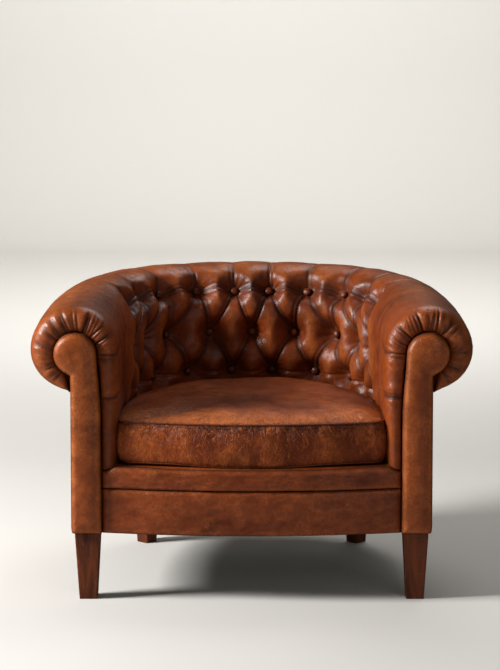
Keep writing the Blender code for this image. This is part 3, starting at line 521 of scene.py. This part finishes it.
for side in (-1, 1):
    p, o, r, z, zs = sections(np.full(len(steps), side * TUB))
    n_out, n_up, n_x, n_z = skin(r, z, zs, row)
    n_out = n_out + foot_out
    head = np.degrees(np.arctan2(n_up - HEAD_Z, n_out - HEAD_OUT))
    head = np.where((n_out < 0) & (head < 0), head + 360, head)
    normal_turn = np.arctan2(n_z, n_x)
    share = np.clip((neck - normal_turn) / (neck - UNDER), 0, 1)
    round_head = normal_turn > neck
    to_out = np.where(round_head, HEAD_OUT + ring_r * np.cos(normal_turn), neck_x + (STRIP_OUT - neck_x) * share)
    to_up = np.where(round_head, HEAD_Z + ring_r * np.sin(normal_turn),
                     neck_z + (z[:, None] + UNDERSIDE - neck_z) * share)
    inner = (n_up < HEAD_Z) & (n_out < 0)
    edge_x = FACING_IN + 0.0085 * np.clip((n_up - 0.420) / (HEAD_Z - 0.420), 0, 1) ** 1.6
    to_out = np.where(inner, edge_x - FACING_GAP - ROLL_X, to_out) - n_out
    to_up = np.where(inner, n_up, to_up) - n_up

    # Pleats drawn in to the facing, at their places round its head, with fine puckers between
    bundle = eased((inward + 0.02) / 0.40)
    away = np.hypot(n_out + to_out * inward - HEAD_OUT, n_up + to_up * inward - HEAD_Z)
    depth = np.zeros(head.shape)
    for number, (angle, strong) in enumerate((
            (-72, 0.6), (-49, 0.7), (-27, 0.8), (8, 0.8), (37, 0.75), (53, 1.0), (71, 1.0), (88, 0.5), (105, 1.0),
            (119, 0.5), (132, 1.0), (155, 1.0), (180, 0.8))):
        angle = angle + 3.0 * math.sin(number * 5.1 + side)
        offset = np.radians(head - angle - 6 * (1 - inward) * math.sin(number * 3.3 + side)) * away
        depth = np.maximum(depth, fold_line(offset, 0.0062 * strong, 0.0025))
    pucker = np.array([noise.noise(Vector((angle * 0.16, side * 9.0, 0.5))) for angle in head[0]])[None, :]
    on_strip = row < 2
    gather = depth * bundle * np.where(on_strip & (n_up < 0.53), 0, 1) + 0.0024 * pucker * bundle
    creases = fold_line(n_up - LOW_CREASE[0], LOW_CREASE[1]) * (1 - 0.2 * inward) \
        + fold_line(n_up - HEAD_CREASE[0], HEAD_CREASE[1]) * (1 - bundle)
    gather = gather + np.where(on_strip, creases, 0)
    edge = np.sqrt(np.clip(1 - steps, 0, 1))
    shrink = gather * np.abs(np.cos(turn)) * (steps < 1)
    face = place(p, o, r, n_out + to_out * inward - n_x * shrink, n_up + to_up * inward - n_z * shrink)
    face[..., 1] += gather * np.minimum(edge * 3, 1) * np.sin(turn) - forward
    soft = ripple(face + 5, 24.0)
    face[..., 1] -= 0.0018 * soft * np.sin(turn) * edge
    face[..., 2] -= 0.0115 * inward * eased((-0.95 - row) / 0.22)
    behind = hidden(p, o, r, z)
    behind[..., 1] -= TUCK * steps
    noses[side] = np.concatenate([face, behind], 1)
    # Painted shade in the pleats and where the leather tucks in behind the facing
    nose_dark[side] = np.clip(gather / 0.0055, 0, 1) * 0.95 + 0.85 * eased((inward - 0.965) / 0.035)
    # Lighter round the nose, less in the gathers and on the strip: wear with a painted highlight
    nose_wear[side] = (0.55 + 0.35 * soft) * (1 - bundle * 0.6) * np.where(on_strip, 0.4, 1)
    nose_wear[side] += (wear[-1 if side > 0 else 0] - nose_wear[side]) * (1 - eased(inward / 0.35))


def extended(values, more):
    """Values with a zero for each of the points behind."""
    return np.pad(values, ((0, 0), (0, more)))


behind = hidden(*sections(arcs[:, -1])[:4])
behind[:, 3] = hidden(*sections(arcs[:, 0])[:4])[:, 3]
rings = np.concatenate([noses[-1][::-1], np.concatenate([body, behind], 1), noses[1]])
dark = extended(np.concatenate([nose_dark[-1][::-1], dark, nose_dark[1]]), 4)
wear = extended(np.concatenate([nose_wear[-1][::-1], wear, nose_wear[1]]), 4)
cover = add_rings("tufted_cover", rings[None], cover_leather, crease=dark, wear=wear)
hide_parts("tufted_inside_and_roll")


# Buttons
# Leather stretched over domed shells, each sunk at the crossing of the folds by its twine.

BUTTON_TILT = 0.10         # a little crooked, each its own way
button_leather = leather("button leather", "#9A4F20", "#662A0E", "#341206", 4, worn=0.8)
turns = np.linspace(0, 2 * math.pi, 25)[:-1]
# Radius and height of the dome
profile = np.array([(0.0002, 0.0123), (0.0030, 0.0121), (0.0058, 0.0113), (0.0078, 0.0100), (0.0091, 0.0084),
                    (0.0096, 0.0066), (0.0092, 0.0048), (0.0060, 0.0025), (0.0008, 0.0003)])
radius, level = profile[:, :1], np.repeat(profile[:, 1:], len(turns), axis=1)
dome = np.stack([radius * np.cos(turns), radius * np.sin(turns), level], -1)
domes = []
for number, (column, line) in enumerate(button_places):
    line = np.array([[float(line)]])
    arc = arc_of(np.array([[column]]), line)
    p, o, r, z, zs = sections(arc[0])
    b_out, b_up, b_x, b_z = skin(r, z, zs, line)
    sunk = tufting(arc, line)[0]
    centre = place(p, o, r, b_out + b_x * sunk, b_up + b_z * sunk)[0, 0]
    facing = Vector((*(o[0] * b_x[0, 0]), b_z[0, 0])).to_track_quat("Z", "Y")
    tilt = Vector((BUTTON_TILT * math.sin(number * 2.3), BUTTON_TILT * math.cos(number * 3.1), 1))
    tilt = tilt.to_track_quat("Z", "Y")
    domes.append(centre + dome @ np.array((facing @ tilt).to_matrix()).T)
buttons = add_rings("tufting_buttons", np.array(domes), button_leather)
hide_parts(*[f"button_{row_name}_{k:02d}" for row_name, count in (("low", 10), ("middle", 9), ("top", 10))
                       for k in range(1, count + 1)])


# Seat cushion
# A loose boxed cushion, D-shaped in plan, with a bowed front and a crowned top.
# Its two seams are pulled in by their stitches, so the leather puckers beside them.

CUSHION_FRONT = FRONT + 0.004
CORNER = 0.036
CUSHION_BOW = 0.032
CROWN = 0.026              # height of the top's middle over its seam
LOW_SEAM, HIGH_SEAM = 0.3065, 0.394
SAG = 0.0050               # how far the front hangs over the rail
SPACING = 0.0047           # between two points of the outline


def closed(line):
    return np.vstack([line, line[:1]])


def cushion_outline(cells=70):
    """Plan of the cushion: the tub's inside line, closed by a bowed front with round corners."""
    half_arcs = np.linspace(0, TUB - 0.035, cells)
    p, o, *_ = sections(half_arcs)
    side = p - o * (0.0025 - 0.0055 * eased((half_arcs - 0.25) / 0.15))[:, None]
    corner = np.radians(np.linspace(0, 90, 16))
    x = side[-1, 0] - CORNER * (1 - np.cos(corner))
    y = CUSHION_FRONT + CORNER * (1 - np.sin(corner))
    across = np.linspace(x[-1], 0, 44)[1:]
    x, y = np.concatenate([x, across]), np.concatenate([y, np.full(len(across), CUSHION_FRONT)])
    y = y - CUSHION_BOW * (1 - np.minimum(x / across[0], 1) ** 2)
    half = np.concatenate([side, np.stack([x, y], 1)])
    whole = closed(np.concatenate([half, half[1:-1][::-1] * (-1, 1)]))
    run = np.concatenate([[0], np.cumsum(np.hypot(*np.diff(whole, axis=0).T))])
    even = np.linspace(0, run[-1], 421)[:-1]
    return np.stack([np.interp(even, run, whole[:, k]) for k in (0, 1)], 1)


def drawn_in(outline, inset, level):
    """The outline made smaller by an inset, at a level."""
    middle = (outline[:, 1].min() + outline[:, 1].max()) / 2
    depth = (outline[:, 1].max() - outline[:, 1].min()) / 2
    return np.stack([outline[:, 0] * (1 - inset / outline[:, 0].max()),
                     middle + (outline[:, 1] - middle) * (1 - inset / depth), np.full(len(outline), level)], 1)


def hanging(y):
    """The cushion's unsupported front, past the rail: one at its middle, none at its corners."""
    return eased((FRONT - 0.008 - y) / 0.017)


outline = cushion_outline()
layers = [(inset, 0.3006) for inset in (0.28, 0.22, 0.16, 0.11, 0.07, 0.04, 0.020)]
layers += [(0.010, 0.3012), (0.0045, LOW_SEAM)]
for share in np.linspace(0.04, 0.96, 20):
    layers.append((0.0055 - 0.0070 * math.sin(math.pi * share) ** 0.45,
                   LOW_SEAM + (HIGH_SEAM - LOW_SEAM) * share))
layers.append((0.0050, HIGH_SEAM))
for inset in (0.0075, 0.011, 0.016, 0.022, 0.029, 0.037, 0.046, 0.056, 0.067, 0.079, 0.092, 0.106, 0.121, 0.137,
              0.154, 0.172, 0.190, 0.208, 0.226, 0.244, 0.262, 0.278):
    layers.append((inset, HIGH_SEAM + CROWN * (1 - (1 - min(inset / 0.2, 1)) ** 3.2)))
rings = np.array([drawn_in(outline, inset, level) for inset, level in layers])
cushion_leather = leather("cushion leather", "#C0662A", "#7C3517", "#3E1609", 9, worn=1.15, shine=0.17)
insets, levels = np.array(layers).T[..., None]
to_seam = np.minimum(np.hypot(levels - HIGH_SEAM, insets - 0.005), np.hypot(levels - LOW_SEAM, insets - 0.0045))
pucker = np.array([noise.noise(Vector((k * SPACING * 95, 2.0, 0))) + 0.6 * noise.noise(
    Vector((k * SPACING * 240, 5.0, 0))) for k in range(len(outline))])[None, :]
top = levels >= HIGH_SEAM
band = (levels > LOW_SEAM) & (levels < HIGH_SEAM) & (insets < 0.006)
belly = np.sin(np.pi * np.clip((levels - LOW_SEAM) / (HIGH_SEAM - LOW_SEAM), 0, 1)) ** 0.6 * band
rings[..., 0] += np.sign(rings[..., 0]) * 0.0045 * belly * eased((FRONT + 0.046 - rings[..., 1]) / 0.03) \
    * eased((np.abs(rings[..., 0]) - 0.20) / 0.08)
sag = hanging(rings[..., 1])
rings[..., 1] -= 0.0025 * sag * belly
rings[..., 2] -= SAG * sag * eased((LOW_SEAM + 0.045 - levels) / 0.045)
direction = (rings - rings.mean(axis=(0, 1))) * (1, 1, 0)
direction /= np.maximum(np.linalg.norm(direction, axis=-1, keepdims=True), 1e-6)
lumps = ripple(rings, 9.0)
small = ripple(rings + 2, 40.0)
slack = ripple(rings * (1, 1, 0.35) + 7, 16.0)
push = 0.0016 * pucker * np.exp(-to_seam / 0.011) + np.where(band, 0.0030 * slack, 0)
rings = rings + direction * push[..., None] * (band | (to_seam < 0.02))[..., None]
rings[..., 2] += np.where(top, 0.0032 * lumps * eased(insets / 0.05) + 0.0009 * small
                          + 0.0012 * pucker * np.exp(-to_seam / 0.012), 0)
# The top is lighter, most along its front edge, and the band's front a little: rubbed wear with a painted highlight
# along the front
front_share = eased((-0.18 - rings[..., 1]) / 0.12)
wear = np.where(top, 0.22 + 0.80 * front_share * eased(1 - np.abs(insets - 0.02) / 0.09) + 0.35 * lumps, 0)
wear = wear + np.where(band, front_share * (0.16 + 0.45 * slack), 0)
gathers = np.exp(-np.maximum(HIGH_SEAM - levels, 0) / 0.034) * band + 0.55 * top * np.exp(-insets / 0.045) + 0.12
gathers = gathers + 0.35 * np.exp(-np.maximum(levels - LOW_SEAM, 0) / 0.016) * band
# Painted shade along both seams
cushion = add_rings("seat_cushion_leather", rings[None], cushion_leather, crease=0.9 * np.exp(-to_seam / 0.0028),
                    wear=wear, pucker=gathers)
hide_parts("seat_cushion")


def beside(along, line):
    """Level directions square to a closed line, away from its middle."""
    along = along / np.linalg.norm(along, axis=1, keepdims=True)
    away = np.column_stack([along[:, 1], -along[:, 0], np.zeros(len(along))])
    return away * np.sign((away[:, 0] * line[:, 0]).sum())


def rings_round(line, away, radius, count):
    """Rings of points round a line, in the plane of up and the direction away."""
    spin = np.linspace(0, 2 * math.pi, count + 1)[:-1, None]
    return line[..., None, :] + radius[..., None, None] * (
        away[..., None, :] * np.cos(spin) + np.array([0, 0, 1]) * np.sin(spin))


# Welts: the seam allowance turned up as a narrow rib
welt_leather = leather("welt leather", "#A45A26", "#6A2E12", "#341408", 12, worn=0.9)
for name, level, inset, drop in (("cushion_top_welt", HIGH_SEAM + 0.0006, 0.0042, 0),
                                 ("cushion_bottom_welt", LOW_SEAM, 0.0040, SAG)):
    line = drawn_in(outline, inset, level)
    line[:, 2] -= drop * hanging(line[:, 1])
    line = closed(line)
    away = beside(np.gradient(line, axis=0), line)
    rib = 0.0019 + 0.0003 * np.sin(np.arange(len(line)) * 2.1)
    welt = add_rings(name, rings_round(line, away, rib, 8)[None], welt_leather)
    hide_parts("seat_cushion")

# Stitches of waxed thread under the top welt, 4.7 mm apart, with every sixth worn away
thread, tree, shader, where = new_surface("waxed thread")
twist = speckle(tree, where, 700, 2)
fill(tree, shader, {"Base Color": blend(tree, twist, "#2A140A", "#6E4226"), "Roughness": 0.6})
line = drawn_in(outline, 0.0022, HIGH_SEAM - 0.0056)
run = np.roll(line, -1, axis=0) - line
away = beside(run, line)
kept = [k for k in range(len(line) - 1) if k % 6 < 5]
start, run, away = line[kept, None], run[kept, None], away[kept, None]
share, radius, lift = np.array([(0.10, 0.0002, -0.0002), (0.25, 0.00075, 0.0004), (0.75, 0.00075, 0.0004),
                                (0.90, 0.0002, -0.0002)]).T
threads = rings_round(start + run * share[:, None] + away * lift[:, None], away, radius, 6)
stitches = add_rings("cushion_stitches", threads, thread)
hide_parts("seat_cushion")


# Arm facings
# Keyhole panels: a thin board, wadded and covered in leather, nailed over the ends of the gathers.

def round_head(first, last, count):
    """Points on the round head of the facing, between two angles."""
    angle = np.radians(np.linspace(first, last, count))
    return HEAD_X + HEAD_R * np.cos(angle), HEAD_Z + HEAD_R * np.sin(angle)


def edge_line(xs, zs, *head):
    """A side edge of the facing: its straight part, then its part of the head."""
    head_x, head_z = round_head(*head)
    return np.concatenate([xs, head_x]), np.concatenate([zs, head_z])


facing_leather = leather("facing leather", "#C06A2E", "#7C3613", "#3A1407", 15, worn=0.9)
outer_x, outer_z = edge_line([0.3912, 0.3934, 0.3948, 0.3935, 0.394], [FOOT, 0.154, 0.162, 0.480, 0.500], -55, 90, 40)
inner_x, inner_z = edge_line([FACING_IN, FACING_IN, 0.331, 0.3345], [FOOT, 0.420, 0.470, 0.510], 180, 90, 30)
up = np.concatenate([FOOT + 0.012 * np.linspace(0, 1, 8) ** 1.5, np.linspace(0.168, 0.495, 70),
                     np.linspace(0.498, HEAD_Z + HEAD_R - 0.0001, 60)])[:, None]
across = (1 - np.cos(np.linspace(0, math.pi, 34))) / 2
x_in, x_out = np.interp(up, inner_z, inner_x), np.interp(up, outer_z, outer_x)
grid_x = x_in + (x_out - x_in) * across
grid_z = np.broadcast_to(up, grid_x.shape)
levels = np.linspace(FOOT, HEAD_Z, 300)
trace = np.concatenate([np.column_stack(part) for part in (
    (np.interp(levels, inner_z, inner_x), levels), (np.interp(levels, outer_z, outer_x), levels),
    round_head(-55, 180, 500), (np.linspace(FACING_IN, 0.395, 60), np.full(60, FOOT)))])
to_edge = np.min(np.hypot(grid_x[..., None] - trace[:, 0], grid_z[..., None] - trace[:, 1]), axis=-1)
for side, name in ((-1, "left"), (1, "right")):
    flat = np.stack([side * grid_x, np.zeros(grid_x.shape), grid_z], -1)
    soft = ripple(flat + side * 4, 15.0)
    pulls = ripple(flat * (1, 1, 3.0) + side * 8, 55.0, 2)
    flat[..., 1] = FRONT - 0.0065 + 0.0075 * (1 - puffed(to_edge, 0.0085)) - 0.0135 * puffed(to_edge, 0.036) \
        - 0.0010 * soft * eased(to_edge / 0.02) - 0.0004 * pulls * np.exp(-to_edge / 0.012)
    back = flat[:, ::-1].copy()
    back[..., 1] = FRONT + 0.014
    # A band just inside the edge is lighter: wear with a painted highlight on the rolled edge; painted shade at the
    # edge itself, in the gap to the strip
    rub_and_highlight = 0.30 + 0.20 * soft + 0.35 * np.exp(-((to_edge - 0.006) / 0.005) ** 2)
    facing = add_rings(f"facing_leather_{name}", np.concatenate([flat, back], 1)[None], facing_leather,
                       crease=extended(0.75 * np.exp(-to_edge / 0.0022), len(across)),
                       wear=extended(rub_and_highlight, len(across)))
    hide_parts(f"arm_facing_{name}")


# Front border and apron
# Two padded strips on the bowed front rail: the narrow one hides the edge of the seat, the deep one the rail.

STRIP_END = 0.3277


def bowed_front(across):
    """The bowed line of the front rail."""
    return FRONT - 0.036 * (1 - np.clip(np.abs(across) / FACING_IN, 0, 1) ** 2)


def pressed(across):
    """Where the cushion has pressed the front edge down: one in the middle, none near the arms."""
    return eased((0.27 - np.abs(across)) / 0.15)


front_leather = leather("front leather", "#AC5A26", "#722F11", "#381407", 20, worn=0.85)
xs = np.concatenate([-STRIP_END + 0.014 * np.linspace(0, 1, 12) ** 1.4, np.linspace(-0.312, 0.312, 180),
                     STRIP_END - 0.014 * np.linspace(1, 0, 12) ** 1.4])
ups = np.concatenate([0.10 * np.linspace(0, 1, 9) ** 1.6, np.linspace(0.12, 0.88, 26),
                      1 - 0.10 * np.linspace(1, 0, 9) ** 1.6])
to_end = (STRIP_END - np.abs(xs))[:, None]
line = bowed_front(xs)
for name, node, low, high, proud in (("apron_leather", "front_apron", FOOT, 0.250, 0.0020),
                                     ("border_leather", "front_border", 0.2503, 0.3000, 0.0042)):
    end = np.clip(to_end / 0.012, 0, 1)
    near = np.minimum(ups, 1 - ups) * (high - low)
    drop = 0.012 * eased((np.abs(xs) - 0.296) / 0.030) + 0.0035 * pressed(xs)
    top = high - drop * (node == "front_border")
    swell = 0.0062 * (1 - puffed(near, 0.009)) - proud * puffed(near, (high - low) / 2)
    front = np.empty((len(xs), len(ups), 3))
    front[..., 0] = xs[:, None]
    front[..., 1] = line[:, None] + 0.0077 * (1 - puffed(to_end, 0.012)) \
        + swell * np.where(swell > 0, end ** 0.5, end)
    front[..., 2] = low + (top[:, None] - low) * ups
    soft = ripple(front * (1, 1, 2.2) + low * 9, 12.0)
    lines = ripple(front * (1, 1, 3.5) + 6, 34.0, 4)
    front[..., 1] -= (0.0020 * soft + 0.0007 * lines) * puffed(near, 0.016) * end
    # Painted shade along the edges and ends of each strip, where it meets the next; a band just inside the edges is
    # lighter: wear with a painted highlight
    dark = 0.85 * np.exp(-near / 0.0022) + 0.8 * np.exp(-to_end / 0.003)
    wear = 0.28 + 0.30 * soft + 0.30 * np.exp(-((near - 0.006) / 0.005) ** 2)
    back = np.stack([np.column_stack([xs, line + 0.014, level]) for level in (top, np.full(len(xs), low))], 1)
    strip = add_rings(name, np.concatenate([front, back], 1)[None], front_leather, crease=extended(dark, 2),
                      wear=extended(wear, 2))
    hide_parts(node)

# Leather edge of the platform: it turns back from the border and runs under the cushion
xs = np.linspace(-0.3270, 0.3270, 160)
backs = np.linspace(0, 0.060, 14)
line = bowed_front(xs)
top = np.empty((len(xs), len(backs), 3))
top[..., 0] = xs[:, None]
top[..., 1] = line[:, None] + 0.006 + backs
near_arm = eased((np.abs(xs) - 0.286) / 0.030)[:, None]
top[..., 2] = 0.3002 - 0.0032 * (1 - puffed(backs, 0.008)) + 0.0045 * near_arm * eased(backs / 0.015) \
    - 0.0040 * pressed(xs)[:, None] * (1 - eased(backs / 0.008))
under = np.stack([np.column_stack([xs, line + 0.066, np.full(len(xs), 0.2996)]),
                  np.column_stack([xs, line + 0.006, 0.2960 - 0.0045 * pressed(xs)])], 1)
# Painted shade darkens it further back, under the cushion, and less near the arms
edge = add_rings("platform_edge_leather", np.concatenate([top, under], 1)[None], front_leather,
                 crease=extended(0.6 * eased((backs - 0.012) / 0.02) * (1 - 0.8 * near_arm), 2),
                 wear=extended(np.full(top.shape[:2], 0.4), 2))


# Outside panels
# Leather stretched from the underside of the roll to the bottom of the rail, in three pieces.

BACK_SEAM = 0.2500         # the two seams beside the back, along the tub
PANEL_OUT = 0.0088
panel_leather = leather("panel leather", "#9E5222", "#6A2C10", "#341307", 27, worn=0.7)
for name, node, start, end in (("back_panel_leather", "outside_back", -BACK_SEAM, BACK_SEAM),
                               ("left_panel_leather", "outside_arm_left", -TUB, -BACK_SEAM - 0.0003),
                               ("right_panel_leather", "outside_arm_right", BACK_SEAM + 0.0003, TUB)):
    stations = np.linspace(start, end, 120)
    p, o, r, z, _ = sections(stations)
    high = (z + UNDERSIDE - 0.0003)[:, None]
    ups = (1 - np.cos(np.linspace(0, math.pi, 70))) / 2
    level = FOOT + (high - FOOT) * ups
    to_seam = np.minimum(np.abs(np.abs(stations) - BACK_SEAM) * 1.4, TUB - np.abs(stations) + 0.030)[:, None]
    near = np.minimum(np.minimum(ups, 1 - ups) * (high - FOOT), to_seam)
    flat = place(p, o, r, np.full(level.shape, PANEL_OUT), level)
    sag = ripple(flat, 6.0)
    crumple = ripple(flat * (1, 1, 0.5) + 4, 30.0, 4)
    out = PANEL_OUT - 0.0040 * (1 - puffed(near, 0.007)) \
        + (0.0020 * sag + 0.0008 * crumple - 0.001) * eased(near / 0.03)
    back = place(p, o, r, np.full((len(stations), 2), 0.0023),
                 np.concatenate([high, np.full(high.shape, FOOT)], 1))
    whole = np.concatenate([place(p, o, r, out, level), back], 1)
    # Painted shade along the edges and seams, under the roll and beside the back; the wear follows the sag
    dark, wear = 0.8 * np.exp(-near / 0.003), 0.25 + 0.4 * sag
    if node == "outside_back":
        dark, wear = extended(dark, 2), extended(wear, 2)
    else:
        # The arm panels run on to the back of the facing
        tail = np.arange(1, 5)[:, None, None] / 4 * np.array([0, -TUCK, 0])
        ahead = node == "outside_arm_right"
        whole = np.concatenate([whole, whole[-1:] + tail] if ahead else [(whole[:1] + tail)[::-1], whole])
        ends = ((0, 4) if ahead else (4, 0), (0, 2))
        dark, wear = np.pad(dark, ends, mode="edge"), np.pad(wear, ends, mode="edge")
    panel = add_rings(name, whole[None], panel_leather, crease=dark, wear=wear)
    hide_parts(node)


# Wood
# Tapered walnut legs with rubbed corners and a dull old finish; the frame inside is bare beech.

def wood(name, light, middle, dark, gloss, stretch):
    """Straight-grained wood: rings drawn out along the piece, pores, and knocks in the finish."""
    made, tree, shader, where = new_surface(name)
    along = add(tree, "ShaderNodeMapping", {"Vector": where, "Scale": stretch}).outputs[0]
    figure = speckle(tree, along, 26, 5, 0.6, 1.4)
    pores = speckle(tree, along, 260, 3, 0.6)
    knocks = speckle(tree, where, 55, 6, 0.7)
    colour = blend(tree, spread(tree, figure, 0.32, 0.68), dark, middle)
    colour = blend(tree, spread(tree, pores, 0.56, 0.70, 0, 0.6), colour, dark)
    colour = blend(tree, spread(tree, knocks, 0.60, 0.72, 0, 0.55), colour, light)
    fill(tree, shader, {"Base Color": colour, "Specular IOR Level": 0.30,
                        "Roughness": spread(tree, knocks, 0.3, 0.7, gloss, gloss + 0.22)})
    bumps(tree, shader, (pores, 0.4, 0.0004, False), (knocks, 0.3, 0.0008, False))
    return made


def dress(node, surface):
    """Give a piece of the frame its material."""
    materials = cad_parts[node].data.materials
    materials.clear()
    materials.append(surface)


walnut = wood("old walnut", "#9A5526", "#703413", "#3A1706", 0.34, (1, 1, 0.09))
beech = wood("frame beech", "#D2AE7E", "#B88C5A", "#93673C", 0.62, (0.2, 0.2, 1))
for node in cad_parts:
    if "leg" in node:
        dress(node, walnut)
    elif "rail" in node or "post" in node or "block" in node:
        dress(node, beech)


# Webbing, platform and bottom cloth
# Jute webbing carries the sprung seat; a brown platform cloth covers it and a black one closes the bottom.

def cloth(name, warp, weft, scale):
    """Plain weave: two sets of threads over and under, with slubs and dust."""
    made, tree, shader, where = new_surface(name)
    one, two = (add(tree, "ShaderNodeTexWave", {"Vector": where, "Scale": scale, "Distortion": 0.6, "Detail": 2},
                    bands_direction=direction).outputs["Fac"] for direction in "XY")
    dust = spread(tree, speckle(tree, where, 18, 6, 0.7), 0.50, 0.75, 0, 0.35)
    colour = blend(tree, maths(tree, "SUBTRACT", one, two, use_clamp=True), warp, weft)
    fill(tree, shader, {"Base Color": blend(tree, dust, colour, "#7B7266"), "Roughness": 0.92})
    bumps(tree, shader, (maths(tree, "ADD", one, two), 0.6, 0.0004, False))
    return made


dress("seat_webbing", cloth("jute webbing", "#A98A5A", "#7C6238", 240))
dress("seat_deck", cloth("platform cloth", "#5A3A26", "#3A2417", 300))
dress("bottom_cloth", cloth("bottom cloth", "#1B1A19", "#0F0E0E", 300))


# Springs
# Five hourglass coils of hard-drawn wire stand on the webbing, dull with age and rusty in places.

wire, tree, shader, where = new_surface("spring wire")
rust = spread(tree, speckle(tree, where, 60, 6, 0.7), 0.48, 0.62)
fill(tree, shader, {"Base Color": blend(tree, rust, "#77726C", "#5E3A24"),
                    "Metallic": spread(tree, rust, 0, 1, 0.9, 0.1),
                    "Roughness": spread(tree, rust, 0, 1, 0.42, 0.80)})
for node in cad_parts:
    if "spring" in node:
        dress(node, wire)
